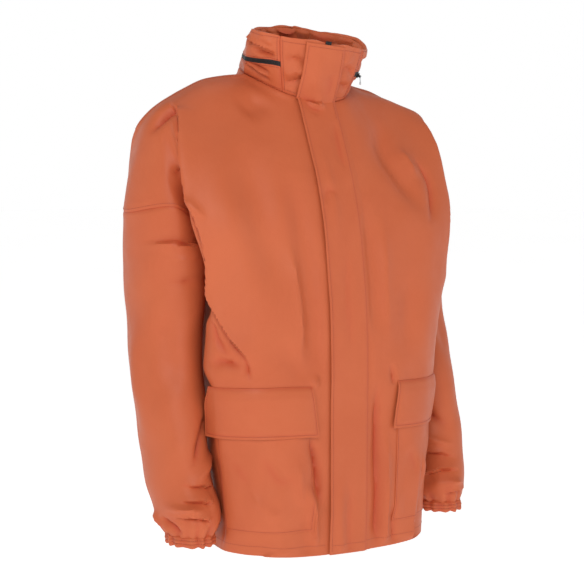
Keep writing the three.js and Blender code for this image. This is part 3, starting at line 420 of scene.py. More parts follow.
class Surface:
    """A grid of middle points of one cloth piece, with normals that look away from the wearer."""

    def __init__(self, points, us, vs, axis, closed=False):
        self.points = points
        self.us = us
        self.vs = vs
        self.axis = axis
        self.closed = closed
        self.refresh()

    def refresh(self):
        """Area-weighted normals, turned away from the piece's axis, which is a function of the points."""
        p = self.points
        right = np.roll(p, -1, 1) if self.closed else p[:, 1:]
        left = p if self.closed else p[:, :-1]
        n = np.cross(right[1:] - left[:-1], left[1:] - right[:-1])
        n = np.nan_to_num(n)
        total = np.zeros_like(p)
        for rows in (slice(0, -1), slice(1, None)):
            if self.closed:
                total[rows] += n + np.roll(n, 1, 1)
            else:
                total[rows, :-1] += n
                total[rows, 1:] += n
        length = np.linalg.norm(total, axis=-1, keepdims=True)
        total /= np.where(length > 1e-9, length, 1)
        away = np.nansum((p - self.axis(p)) * total)
        self.normals = total if away > 0 else -total

    def at(self, u, v, what=None):
        """Middle points, or another grid, at parameters u and v by straight lines between grid points."""
        grid = self.points if what is None else what
        u, v = np.broadcast_arrays(np.asarray(u, float), np.asarray(v, float))
        j = np.clip(np.searchsorted(self.us, u, side="right") - 1, 0, len(self.us) - 2)
        i = np.clip(np.searchsorted(self.vs, v, side="right") - 1, 0, len(self.vs) - 2)
        s = ((u - self.us[j]) / (self.us[j + 1] - self.us[j]))[..., None]
        t = ((v - self.vs[i]) / (self.vs[i + 1] - self.vs[i]))[..., None]
        top = grid[i, j] * (1 - s) + grid[i, j + 1] * s
        low = grid[i + 1, j] * (1 - s) + grid[i + 1, j + 1] * s
        return top * (1 - t) + low * t

    def push(self, height):
        """Moves the cloth along its normals by a grid of heights."""
        self.points = self.points + self.normals * height[..., None]
        self.refresh()


def path_distance(points, path):
    """Distance from points to a polyline, share along it, and the nearest point and direction."""
    best = np.full(points.shape[:-1], np.inf)
    share = np.zeros_like(best)
    near = np.zeros_like(points)
    heading = np.zeros_like(points)
    lengths = np.linalg.norm(np.diff(path, axis=0), axis=1)
    starts = np.concatenate([[0], np.cumsum(lengths)])
    for k, length in enumerate(lengths):
        line = (path[k + 1] - path[k]) / max(length, 1e-6)
        t = np.clip(((points - path[k]) * line).sum(-1), 0, length)
        foot = path[k] + t[..., None] * line
        d = np.linalg.norm(points - foot, axis=-1)
        closer = d < best
        best = np.where(closer, d, best)
        share = np.where(closer, (starts[k] + t) / starts[-1], share)
        near = np.where(closer[..., None], foot, near)
        heading = np.where(closer[..., None], line, heading)
    return best, share, near, heading


def fold_heights(surface, folds):
    """Height in millimetres that a table of folds gives every point of a surface, and the painted shade laid along
    its lines.

    A ridge stands up and a trough sinks on both sides of its path. A drape rises softly on the left
    of its path, seen from outside, and drops over a lip on the right, where the cloth lies under it.
    """
    p = surface.points
    total = np.zeros(p.shape[:2])
    dark = np.zeros(p.shape[:2])
    for kind, depth, width, start, end, *marks in folds:
        marks = np.array(marks, float).reshape(-1, 2)
        knots = surface.at(marks[:, 0], marks[:, 1])
        count = 3 + 4 * (len(marks) - 1)
        path = through(knots, np.linspace(0, len(marks) - 1, count)) if len(marks) > 2 else knots
        d, share, near, heading = path_distance(np.nan_to_num(p, nan=1e6), path)
        side = np.sign((np.cross(heading, np.nan_to_num(p) - near) * surface.normals).sum(-1))
        x = d * np.where(side == 0, 1, side)
        taper = ease(share / max(start, 1e-3)) * ease((1 - share) / max(end, 1e-3))
        beyond = np.exp(-((d / (2.5 * width)) ** 4))
        shape = np.exp(-((d / width) ** 2))
        if width < SOFT_WIDTH:
            shape = np.exp(-(np.sqrt(d ** 2 + 2.2) - 1.48) / (0.62 * width))
        if kind == "ridge":
            height = shape
        elif kind == "trough":
            height = -shape
        else:
            gentle = np.exp(-(np.sqrt(x ** 2 + 2.2) - 1.48) / (0.9 * width))
            lip = np.exp(-((x / (0.13 * width)) ** 2))
            under = (1 - lip) * np.exp(np.minimum(x, 0) / (1.2 * width))
            height = np.where(x > 0, 0.55 * gentle, 0.55 * lip - 0.75 * under)
        total += depth * taper * height * beyond
        # Painted shade: darkness along each drape's groove under its lip and in the hollow of narrow folds
        if kind == "drape":
            dark += depth * taper * np.exp(-(((x + 0.2 * width) / (0.16 * width)) ** 2))
        elif width < SOFT_WIDTH:
            dark += depth * taper * np.clip(-height, 0, 1) ** 2
    return total, np.clip(dark / 4.5, 0, 1)


def undulation(points, amount, lengths):
    """Slow uneven swell of hanging cloth from a few waves of different length and direction."""
    p = np.nan_to_num(points)
    total = np.zeros(p.shape[:2])
    for k, length in enumerate(lengths):
        turn = 1.7 * k + 0.4
        way = np.array([math.cos(turn), 0.35 * math.sin(2 * turn), 0.8 * math.sin(turn)])
        bend = 0.8 * np.sin(p @ np.roll(way, 1) / (1.7 * length) + k)
        total += np.sin(2 * math.pi * (p @ way) / length + bend + 2.1 * k) / (k + 1.5)
    return amount * total


def shell(points, normals, thickness, closed=False):
    """Vertices and faces of a closed cloth shell with a rounded rim about a grid; missing points are NaN."""
    there = ~np.isnan(points[..., 0])
    index = np.full(there.shape, -1)
    index[there] = np.arange(there.sum())
    mid = points[there]
    out = normals[there]
    count = len(mid)
    verts = [mid + out * thickness / 2, mid - out * thickness / 2]
    right = np.roll(index, -1, 1) if closed else index[:, 1:]
    left = index if closed else index[:, :-1]
    quads = np.stack([left[:-1], left[1:], right[1:], right[:-1]], -1).reshape(-1, 4)
    quads = quads[(quads >= 0).all(1)]
    a, b, c, d = (mid[quads[:, n]] for n in range(4))
    facing = (np.cross(c - a, d - b) * (out[quads].sum(1))).sum()
    if facing < 0:
        quads = quads[:, ::-1]
    edges = np.concatenate([quads[:, [n, (n + 1) % 4]] for n in range(4)])
    key = edges[:, 0].astype(np.int64) * count + edges[:, 1]
    back = edges[:, 1].astype(np.int64) * count + edges[:, 0]
    rim = edges[~np.isin(key, back)]
    along = mid[rim[:, 1]] - mid[rim[:, 0]]
    side = np.cross(along, out[rim[:, 0]])
    push = np.zeros_like(mid)
    for n in range(2):
        np.add.at(push, rim[:, n], side / np.maximum(np.linalg.norm(side, axis=1, keepdims=True), 1e-9))
    border = np.unique(rim)
    where = np.full(count, -1)
    where[border] = 2 * count + np.arange(len(border))
    push = push[border]
    push /= np.maximum(np.linalg.norm(push, axis=1, keepdims=True), 1e-9)
    verts.append(mid[border] + push * thickness * 0.32)
    p, q = rim[:, 0], rim[:, 1]
    upper = np.stack([q, p, where[p], where[q]], 1)
    lower = np.stack([where[q], where[p], p + count, q + count], 1)
    faces = np.concatenate([quads, quads[:, ::-1] + count, upper, lower])
    grid_of = np.concatenate([np.flatnonzero(there.ravel())] * 2 + [np.flatnonzero(there.ravel())[border]])
    return np.concatenate(verts), faces, grid_of


def make_object(name, verts, faces, material, values=None, smooth=50):
    """A mesh object from points in millimetres, with named float values on its points."""
    mesh = bpy.data.meshes.new(name)
    mesh.vertices.add(len(verts))
    mesh.vertices.foreach_set("co", (np.asarray(verts, np.float32) * 0.001).ravel())
    faces = np.asarray(faces, np.int32)
    size = faces.shape[1]
    mesh.loops.add(faces.size)
    mesh.loops.foreach_set("vertex_index", faces.ravel())
    mesh.polygons.add(len(faces))
    mesh.polygons.foreach_set("loop_start", np.arange(0, faces.size, size, dtype=np.int32))
    mesh.update(calc_edges=True)
    mesh.validate()
    mesh.polygons.foreach_set("use_smooth", np.ones(len(mesh.polygons), bool))
    mesh.set_sharp_from_angle(angle=math.radians(smooth))
    for label, data in (values or {}).items():
        attribute = mesh.attributes.new(label, "FLOAT", "POINT")
        attribute.data.foreach_set("value", np.asarray(data, np.float32))
    mesh.materials.append(material)
    obj = bpy.data.objects.new(name, mesh)
    bpy.context.scene.collection.objects.link(obj)
    return obj


def cloth_object(name, surface, thickness, material, node, painted_shade=None):
    """The shell of a surface as an object that stands for a CAD node and rides the coat."""
    verts, faces, grid_of = shell(surface.points, surface.normals, thickness, surface.closed)
    # The painted shade rides on the points as a value that the cloth material reads
    depth = np.zeros(surface.points.shape[:2]) if painted_shade is None else painted_shade
    obj = make_object(name, verts, faces, material, {"painted_shade": depth.ravel()[grid_of]})
    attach(obj, "coat")
    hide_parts(node)
    return obj


STITCH_RINGS = ((-0.5, 0.08, -0.7), (-0.28, 1.0, 0.25), (0.28, 1.0, 0.25), (0.5, 0.08, -0.7))
STITCH_SIDES = 5


def stitch_mesh(lines, pitch, length, radius):
    """Rounded thread stitches laid end to end on lines, each given as points and outward normals."""
    verts = []
    faces = []
    total = 0
    ring = np.arange(STITCH_SIDES)
    for points, normals in lines:
        lengths = np.linalg.norm(np.diff(points, axis=0), axis=1)
        along = np.concatenate([[0], np.cumsum(lengths)])
        count = int(along[-1] / pitch)
        if count < 1:
            continue
        at = (np.arange(count) + 0.5) * along[-1] / count
        pick = lambda values, where: np.stack([np.interp(where, along, values[:, n]) for n in range(3)], 1)
        middle = pick(points, at)
        heading = pick(points, at + 0.4 * length) - pick(points, at - 0.4 * length)
        heading /= np.maximum(np.linalg.norm(heading, axis=1, keepdims=True), 1e-9)
        out = pick(normals, at)
        out -= heading * (out * heading).sum(1, keepdims=True)
        out /= np.maximum(np.linalg.norm(out, axis=1, keepdims=True), 1e-9)
        across = np.cross(heading, out)
        for n, (place, swell, rise) in enumerate(STITCH_RINGS):
            for k in ring:
                turn = 2 * math.pi * k / STITCH_SIDES
                verts.append(middle + heading * place * length + out * radius * (rise + swell * math.sin(turn))
                             + across * radius * swell * math.cos(turn))
        stride = len(STITCH_RINGS) * STITCH_SIDES
        base = total + np.arange(count)
        for n in range(len(STITCH_RINGS) - 1):
            for k in ring:
                a, b = n * STITCH_SIDES + k, n * STITCH_SIDES + (k + 1) % STITCH_SIDES
                faces.append(np.stack([base + m * count for m in (a, b, b + STITCH_SIDES, a + STITCH_SIDES)], 1))
        total += count * stride
    return np.concatenate(verts), np.concatenate(faces)


def body_axis(p):
    return np.stack([0.25 * p[..., 0], 0 * p[..., 1] + 10, p[..., 2]], -1)


def sleeve_axis(side):
    heights = [-s[0] for s in SLEEVE_SECTIONS]

    def axis(p):
        x = side * np.interp(-p[..., 2], heights, [s[1] for s in SLEEVE_SECTIONS])
        y = np.interp(-p[..., 2], heights, [s[2] for s in SLEEVE_SECTIONS])
        return np.stack([x, y, p[..., 2]], -1)

    return axis


def collar_axis(p):
    return np.stack([0 * p[..., 0] - 8, 0 * p[..., 1], p[..., 2]], -1)


BODY_STEPS = (15, 14, 18, 25, 19, 14)
CAP_STEPS = (16, 9, 9)
BACK_STEPS = (13, 12, 13, 13, 10, 12, 9, 7)
DOWN_STEPS = (10, 14, 18, 20, 18, 18, 16, 16, 15, 20, 20, 16)
SEAM_MARKS_ACROSS = (5.94, 5.975, 8.9, 8.96)
SEAM_MARKS_DOWN = (0.035, 0.08, 3.94, 3.975, 11.95, 11.975)
SIDES = {"right": -1, "left": 1}


def seam_distance(surface, lines):
    """Distance of every grid point from the nearest of several polylines."""
    p = np.nan_to_num(surface.points, nan=1e6)
    best = np.full(p.shape[:2], np.inf)
    for line in lines:
        line = line[~np.isnan(line[:, 0])]
        best = np.minimum(best, path_distance(p, line)[0])
    return best


def seam_roll(distance, points, pucker=0.35):
    """Cloth that turns in at a seam and puckers a little beside it."""
    p = np.nan_to_num(points)
    beat = np.sin(p[..., 0] / 7.1 + 0.9 * np.sin(p[..., 2] / 23)) + np.sin(p[..., 2] / 6.3 + p[..., 0] / 31)
    roll = -0.55 * np.exp(-((distance / 1.5) ** 2)) + 0.3 * np.exp(-(((distance - 5) / 2.6) ** 2))
    return roll + pucker * 0.5 * beat * np.exp(-((distance / 13) ** 2))


def drawn(points, targets, gap):
    """Edge points moved towards their inner neighbours by the seam gap."""
    way = targets - points
    length = np.linalg.norm(way, axis=-1, keepdims=True)
    return points + way * np.minimum(gap / np.maximum(length, 1e-6), 0.45)


def draw_back(grid, us, vs, gap=0.62):
    """A panel's edges drawn back from the seams that they share with other pieces."""
    out = grid.copy()
    valley = int(np.flatnonzero(np.isclose(np.abs(us), VALLEY))[-1])
    sleeve = int(np.flatnonzero(np.isclose(vs, SLEEVE_ROW))[0])
    ends = [(valley, len(us) - 1, -1)]
    if us[0] < 0:
        ends.append((int(np.flatnonzero(np.isclose(us, -VALLEY))[0]), 0, 1))
    out[0] = drawn(grid[0], grid[1], gap)
    for at, last, way in ends:
        out[:sleeve + 1, last] = drawn(out[:sleeve + 1, last], grid[:sleeve + 1, last + way], 1.5 * gap)
        cap = slice(at + 1, last + 1) if last > at else slice(last, at)
        out[sleeve, cap] = drawn(out[sleeve, cap], grid[sleeve - 1, cap], gap)
        out[sleeve + 1:, at] = drawn(grid[sleeve + 1:, at], grid[sleeve + 1:, at + way], gap)
        corner = drawn(grid[sleeve, at], grid[sleeve, at + way], 1.6)
        out[sleeve, at] = drawn(corner, grid[sleeve - 1, at], 1.0)
    return out


def front_surface(name, strength):
    """One front panel with its folds, and the flat-hung panel that the flap and pockets start from."""
    side = SIDES[name]
    us = steps(BODY_STEPS + CAP_STEPS, SEAM_MARKS_ACROSS)
    us = us[us > ZIP_HALF / 55]
    us = np.concatenate([[ZIP_HALF / 55], us])
    vs = steps(DOWN_STEPS, SEAM_MARKS_DOWN)
    plain = Surface(half_panel(False, side, us, vs), us, vs, body_axis)
    folded = Surface(draw_back(plain.points, us, vs), us, vs, body_axis)
    folds, dark = fold_heights(plain, FRONT_RIGHT_FOLDS if name == "right" else FRONT_LEFT_FOLDS)
    x = np.nan_to_num(plain.points[..., 0])
    clear = ease((FLAP_FREE_EDGE - 2 - x) / 16) if name == "right" else ease((x - FLAP_SEWN_EDGE - 2) / 12)
    height = folds + undulation(plain.points, 0.8, (210, 140, 95, 61))
    valley = int(np.flatnonzero(np.isclose(us, VALLEY))[0])
    sleeve = int(np.flatnonzero(np.isclose(vs, SLEEVE_ROW))[0])
    seams = [plain.points[0], plain.points[:sleeve + 1, -1], plain.points[sleeve, valley:],
             plain.points[sleeve:, valley]]
    distance = seam_distance(plain, seams)
    height = strength * height * clear * ease(distance / 14) + seam_roll(distance, plain.points) * clear
    folded.push(height)
    # Painted shade: the folds' darkness plus a darker line in the groove along the seams
    painted_shade = dark * clear + 0.45 * np.exp(-((distance / 1.8) ** 2))
    return plain, folded, painted_shade


def back_surface(strength):
    us = steps(BACK_STEPS, (5.94, 5.975, 7.9, 7.96))
    vs = steps(DOWN_STEPS, SEAM_MARKS_DOWN)
    left = half_panel(True, 1, us, vs)
    right = half_panel(True, -1, us, vs)
    us = np.concatenate([-us[:0:-1], us])
    plain = Surface(np.concatenate([right[:, :0:-1], left], 1), us, vs, body_axis)
    folded = Surface(draw_back(plain.points, us, vs), us, vs, body_axis)
    folds, dark = fold_heights(plain, BACK_FOLDS)
    sleeve = int(np.flatnonzero(np.isclose(vs, SLEEVE_ROW))[0])
    seams = [plain.points[0]]
    for sign in (-1, 1):
        valley = int(np.flatnonzero(np.isclose(us, sign * VALLEY))[0])
        last = 0 if sign < 0 else len(us) - 1
        low, high = sorted((valley, last))
        seams += [plain.points[:sleeve + 1, last], plain.points[sleeve, low:high + 1], plain.points[sleeve:, valley]]
    distance = seam_distance(plain, seams)
    height = folds + undulation(plain.points, 1.3, (230, 150, 97, 66))
    folded.push(strength * height * ease(distance / 14) + seam_roll(distance, plain.points))
    # Painted shade: the folds' darkness plus a darker line in the groove along the seams
    return folded, dark + 0.45 * np.exp(-((distance / 1.8) ** 2))


SLEEVE_STEPS = (20, 14, 14, 15, 18, 22, 14, 12, 10, 8, 5)


def sleeve_surface(name, strength, gathers):
    """Sleeve tube from the seam ring to the cuff; u runs 6 to 9 in front and 9 to 11 behind."""
    side = SIDES[name]
    rows = np.arange(0, SLEEVE_ROW + 1.0)
    body = np.arange(0, VALLEY + 1.0)
    front_u = steps((22, 18, 16))
    back_u = steps((13, 14))
    front = half_panel(False, side, np.concatenate([body, 6 + front_u[1:]]), rows)[SLEEVE_ROW][VALLEY:]
    back = half_panel(True, side, np.concatenate([body, 6 + back_u[1:]]), rows)[SLEEVE_ROW][VALLEY:]
    ring = np.concatenate([front, back[1:-1][::-1]])
    us = np.concatenate([6 + front_u, 11 - back_u[1:-1][::-1]])
    turn = np.arctan2(ring[:, 1] - 46, side * ring[:, 0] - 240)
    rows = [ring]
    for z, x, y, half_x, half_y in SLEEVE_SECTIONS:
        lean = SIDE_LEAN * (1 - float(ease((-220 - z) / 180)))
        out = x + half_x * np.cos(turn)
        height = z - lean * np.sin(math.pi * side * out / LEAN_SPAN)
        rows.append(np.stack([side * out, y + half_y * np.sin(turn), height], -1))
    vs = steps(SLEEVE_STEPS, (0.03, 0.08))
    grid = through(np.stack(rows), vs)
    grid[0] = drawn(grid[0], grid[3], 0.9)
    surface = Surface(grid, us, vs, sleeve_axis(side), closed=True)
    folds, dark = fold_heights(surface, SLEEVE_RIGHT_FOLDS if name == "right" else SLEEVE_LEFT_FOLDS)
    distance = np.broadcast_to(np.linalg.norm(grid - grid[0], axis=-1), folds.shape)
    height = folds + undulation(grid, 0.9, (170, 110, 73, 49))
    wrap = np.cumsum(np.linalg.norm(np.diff(grid[-1], axis=0, append=grid[-1][:1]), axis=-1))
    angle = 2 * math.pi * wrap / wrap[-1]
    near_cuff = ease((vs - 7.6) / 2.4)[:, None]
    pleats = np.sin(13 * angle + 1.3 * np.sin(3 * angle)) + 0.5 * np.sin(21 * angle + 2 * np.sin(2 * angle))
    height = strength * height * ease(distance / 12) * (1 - 0.5 * near_cuff ** 2)
    height += seam_roll(distance, grid) + gathers * near_cuff ** 2 * pleats[None]
    surface.push(height)
    # Painted shade: the folds' darkness, a darker line in the sleeve seam's groove and darker hollows between the
    # pleats near the cuff
    painted_shade = dark + 0.45 * np.exp(-((distance / 1.8) ** 2))
    painted_shade += 0.5 * near_cuff * np.clip(-pleats[None], 0, 1)
    rise = surface.points[0] - surface.points[2]
    rise /= np.linalg.norm(rise, axis=-1, keepdims=True)
    tuck = surface.points[0] + rise * LAP - surface.normals[0] * 1.5
    surface = Surface(np.concatenate([tuck[None], surface.points]), us, np.concatenate([[-0.05], vs]),
                      sleeve_axis(side), closed=True)
    return surface, np.concatenate([painted_shade[:1], painted_shade])


def cuff_surface(name, depth):
    """Elastic casing, drawn into uneven gathers round the wrist."""
    side = SIDES[name]
    z, x, y, half_x, half_y = SLEEVE_SECTIONS[-1]
    turn = np.linspace(0, 2 * math.pi, 288, endpoint=False)
    down = np.concatenate([[-0.22, -0.1], np.linspace(0, 1, 15)])
    shift = 0.35 * np.sin(3 * turn + 0.6 * SIDES[name]) + 0.25 * np.sin(5 * turn + 1)
    swing = np.cos(CUFF_GATHERS * turn + 2.2 * shift)
    size = CUFF_WAVE * (1 + 0.35 * np.sin(4 * turn + 1.1))
    rows = []
    for h in down:
        ruffle = size * (swing + 0.2 * np.cos(2 * CUFF_GATHERS * turn + 1.4 * h)) * (0.7 + 0.3 * abs(2 * h - 1))
        pinch = -depth * math.exp(-(((h - 0.62) / 0.12) ** 2)) - 0.7 * depth * math.exp(-(((h - 0.28) / 0.1) ** 2))
        swell = 2.6 * math.sin(math.pi * max(h, 0)) ** 0.7 + ruffle + pinch
        if h < 0:
            swell = -1.6 + 6 * h
        drop = h * CUFF_TALL + 0.55 * size * swing * max(h, 0) ** 2
        rows.append(np.stack([side * (x + (half_x + swell) * np.cos(turn)),
                              y - 2 * h + (half_y + swell) * np.sin(turn), z - 1.0 - drop], -1))
    grid = np.stack(rows)
    surface = Surface(grid, turn, down, sleeve_axis(side), closed=True)
    # Painted shade in the hollows between the gathers
    painted_shade = np.clip(0.5 - 0.5 * swing, 0, 1)[None] * np.ones((len(down), 1)) * 0.6
    return surface, painted_shade


def neck_points(k):
    """Points of the neck seam at collar columns k, from the right front edge round to the left one."""
    k = np.asarray(k, float)
    out = np.zeros(k.shape + (3,))
    for side in (-1, 1):
        own = (k <= NECK_HALF) if side < 0 else (k > NECK_HALF)
        step = np.where(k[own] <= NECK_HALF, k[own], LAST_COLUMN - k[own])
        for back in (False, True):
            control = control_rows(back, side)[0]
            far = control_rows(not back, side)[0]
            part = step > 8 if back else step <= 8
            u = 2 - (step[part] - 8) / 4 if back else np.interp(step[part], (0, 2, 8), (ZIP_HALF / 55, 0.5, 2))
            order = np.argsort(u)
            points = through(control, u[order], beyond=far[len(far) - 2], corners=(2,))
            where = np.flatnonzero(own)[np.flatnonzero(part)[order]]
            out[where] = points
    return out


def rim_points(k):
    k = np.asarray(k, float)
    side = np.where(k <= NECK_HALF, -1, 1)
    share = np.where(k <= NECK_HALF, k, LAST_COLUMN - k) / NECK_HALF
    turn = 0.05 + share * (math.pi - 0.05)
    rise = (1 - np.cos(turn)) / 2
    droop = np.where(side > 0, RIM_DROOP * np.exp(-(((turn - 1.25) / 0.6) ** 2)), 0)
    z = RIM_FRONT_Z + (RIM_BACK_Z - RIM_FRONT_Z) * rise - droop
    z += np.where(side > 0, 6 * np.exp(-(((turn - 1.5) / 0.7) ** 2)), -6 * np.exp(-(((turn - 2.1) / 0.8) ** 2)))
    p = np.stack([side * RIM_HALF_WIDTH * np.sin(turn), RIM_CENTRE_Y - RIM_HALF_DEPTH * np.cos(turn), z], -1)
    return hang(p, True)


def collar_points(k, h, inward=0.0):
    """Collar surface at columns k and height shares h, moved towards the neck."""
    k, h, inward = np.broadcast_arrays(np.asarray(k, float), h, inward)
    flat = k.ravel()
    names, back = np.unique(flat, return_inverse=True)
    low = neck_points(names)[back].reshape(k.shape + (3,))
    top = rim_points(names)[back].reshape(k.shape + (3,))
    p = low + (top - low) * h[..., None]
    out = np.stack([p[..., 0] + 8, p[..., 1] - 30 + 50 * h, 0 * h], -1)
    out /= np.linalg.norm(out, axis=-1, keepdims=True)
    return p + out * (3 * np.sin(math.pi * h) - inward)[..., None]


def zip_share(k, sign=0, gap=0.0):
    k = np.asarray(k, float)
    share = np.where(k <= NECK_HALF, k, LAST_COLUMN - k) / NECK_HALF
    tall = np.linalg.norm(neck_points(k) - rim_points(k), axis=-1)
    return 0.5 - 0.16 * ease((share - 0.25) / 0.3) + sign * (COLLAR_ZIP_TALL / 2 + gap) / tall


BASE_SHARE = 0.011
# The rim's roll: height share below the top and millimetres inward
RIM_ROLL = ((0.004, 2.9), (0.010, 3.8), (0.022, 4.7), (0.04, 5.2))


def collar_surface(first, last, low, high, strength, rolls, count):
    """One outer collar piece between columns, from height share low(k) to high(k) or over the rim."""
    ks = np.linspace(first, last, count)
    ks = np.unique(np.concatenate([ks, [first + 0.05, last - 0.05]]))
    bottom = low(ks)
    top = high(ks)
    rows = []
    shares = np.linspace(0, 1, 24)
    for s in shares:
        level = bottom + (top - bottom) * s
        inward = np.interp(level, (0.85, 0.93, 1.0), (0, 0.2, 1.6)) if rolls else 0.0
        rows.append(collar_points(ks, level, inward))
    heights = [bottom + (top - bottom) * s for s in shares]
    if rolls:
        for drop, inward in RIM_ROLL:
            rows.append(collar_points(ks, top - drop, inward))
            heights.append(top)
    grid = np.stack(rows)
    grid[:, 0] = drawn(grid[:, 0], grid[:, 2], 0.5)
    grid[:, -1] = drawn(grid[:, -1], grid[:, -3], 0.5)
    surface = Surface(grid, ks, np.linspace(0, 1, len(rows)), collar_axis)
    base = Surface(collar_points(ks[None], np.linspace(0, 1, 61)[:, None]), ks, np.linspace(0, 1, 61), collar_axis)
    relief, shade = fold_heights(base, [f for f in COLLAR_FOLDS if first - 1 < np.mean(f[5::2]) < last + 1])
    shares_at = np.clip(np.stack(heights), 0, 1)
    index = shares_at * 60
    i = np.clip(index.astype(int), 0, 59)
    column = np.arange(len(ks))[None]
    folds = relief[i, column] * (1 - (index - i)) + relief[i + 1, column] * (index - i)
    dark = shade[i, column] * (1 - (index - i)) + shade[i + 1, column] * (index - i)
    u_gap = np.minimum(np.abs(ks - first), np.abs(ks - last)) * 9
    v_gap = np.minimum(shares_at - bottom, np.maximum(top - shares_at, 0) + (60 if rolls else 0)) * 90
    edge = np.minimum(u_gap[None], v_gap)
    calm = 1 - 0.7 * ease((shares_at - 0.78) / 0.14) * (1 if rolls else 0)
    height = strength * (1.35 * calm * folds + undulation(grid, 0.35, (48, 31, 21, 15))) * ease(edge / 6)
    rim = ease((shares_at - 0.82) / 0.16) if rolls else 0 * shares_at
    wave = np.sin(ks * 1.3)[None] + 0.5 * np.sin(ks * 2.3 + 1)[None]
    height += seam_roll(edge, grid, 0.2) * 0.7 + 0.5 * rim * wave
    surface.push(height)
    if rolls:
        surface.points[..., 2] += rim * (0.8 * np.sin(ks * 0.9 + 0.5) + 0.5 * np.sin(ks * 1.7))[None]
        surface.refresh()
    # Painted shade: the folds' darkness plus a darker line in the groove along the collar's seams
    painted_shade = dark + 0.5 * np.exp(-((edge / 1.8) ** 2))
    return surface, painted_shade


def collar_heights(s):
    """Height shares of the line where the flap leaves the collar: rim down to the neck seam."""
    return 1.0 - s * 0.88


def front_line(k, halves, name, count=18):
    """Front edge of the coat from the collar rim down to the hem."""
    shares = collar_heights(np.linspace(0, 1, count))
    return np.concatenate([collar_points(np.full(count, float(k)), shares), halves[name].points[:, 0]])


def flap_surface(halves, strength):
    """Storm flap over the zip, from its free edge on the wearer's right to its sewn edge."""
    count = 18
    shares = collar_heights(np.linspace(0, 1, count))
    inside = np.linspace(FLAP_FREE_EDGE + 4.5, FLAP_SEWN_EDGE - 3, 14)
    xs = np.concatenate([[FLAP_FREE_EDGE, FLAP_FREE_EDGE + 1.5], inside, [FLAP_SEWN_EDGE - 1, FLAP_SEWN_EDGE]])
    ks = np.arange(0, 6.01, 0.5)
    rows = []
    for h in shares:
        line = np.concatenate([collar_points(ks[::-1], h), collar_points(LAST_COLUMN - ks, h)])
        rows.append(line)
    right, left = halves["right"], halves["left"]
    reach = int(np.searchsorted(right.us, 2.4))
    for i in range(len(right.vs)):
        rows.append(np.concatenate([right.points[i, :reach][::-1], left.points[i, :reach]]))
    grid = np.stack([np.stack([xs, np.interp(xs, row[:, 0], row[:, 1]), np.interp(xs, row[:, 0], row[:, 2])], -1)
                     for row in rows])
    grid[0] += (0, 2, -FLAP_TOP_DROP)
    grid[1:4] += np.array([(0, 1, -2.5), (0, 0.5, -1.0), (0, 0, -0.3)])[:, None]
    down = np.concatenate([[0], np.cumsum(np.linalg.norm(np.diff(grid[:, 8], axis=0), axis=1))])
    surface = Surface(grid, xs, down / down[-1], body_axis)
    lift = np.interp(down, (0, 60, 90, 150, 190), (3.0, 3.9, 4.0, 3.6, 3.0))[:, None] * np.ones(len(xs))
    free = np.exp(-((xs - FLAP_FREE_EDGE) / 15))[None]
    beat = np.sin(down / 37)[:, None] + 0.6 * np.sin(down / 17 + 1)[:, None]
    lift += free * (1.8 + 0.7 * beat) * ease(down / 60)[:, None]
    folds, dark = fold_heights(surface, FLAP_FOLDS)
    edge = np.minimum(xs - FLAP_FREE_EDGE, 60)[None]
    sewn = (FLAP_SEWN_EDGE - xs)[None]
    hem = np.exp(-(((edge - 3.4) / 1.0) ** 2))
    held = ease(sewn / 10) * (0.25 + 0.75 * ease(edge / 10))
    height = lift + held * np.clip(strength * folds, -1.7, 6) - 0.25 * hem - 0.9 * np.exp(-((sewn / 1.6) ** 2))
    height += 0.35 * np.exp(-(((sewn - 4.5) / 2.2) ** 2))
    surface.push(height)
    # Painted shade: the folds' darkness, a darker groove at the hem stitching and a darker sunk sewn edge
    return surface, dark + 0.4 * hem + 0.6 * np.exp(-((sewn / 1.8) ** 2))


def line_between(surface, u_list, v_list, thickness, count=None):
    """Outer points and normals along a path of surface parameters."""
    u_list, v_list = np.asarray(u_list, float), np.asarray(v_list, float)
    count = count or 40 * (len(u_list) - 1)
    t = np.linspace(0, len(u_list) - 1, count)
    u = np.interp(t, np.arange(len(u_list)), u_list)
    v = np.interp(t, np.arange(len(v_list)), v_list)
    points = surface.at(u, v)
    normals = surface.at(u, v, surface.normals)
    return points + normals * thickness / 2, normals


def panel_piece(panel, u_from, u_to, z_top, z_bottom, across, down):
    """Part of a panel's surface as a grid of its own, with finer lines along its edges."""
    u = np.linspace(u_from, u_to, across)
    v = np.linspace(row_at(z_top), row_at(z_bottom), down)
    near_u = (u_to - u_from) / across * np.array([0.2, 0.5])
    near_v = (v[-1] - v[0]) / down * np.array([0.2, 0.5])
    u = np.unique(np.concatenate([u, u_from + near_u, u_to - near_u]))
    v = np.unique(np.concatenate([v, v[0] + near_v, v[-1] - near_v]))
    return u, v, panel.at(u[None], v[:, None])


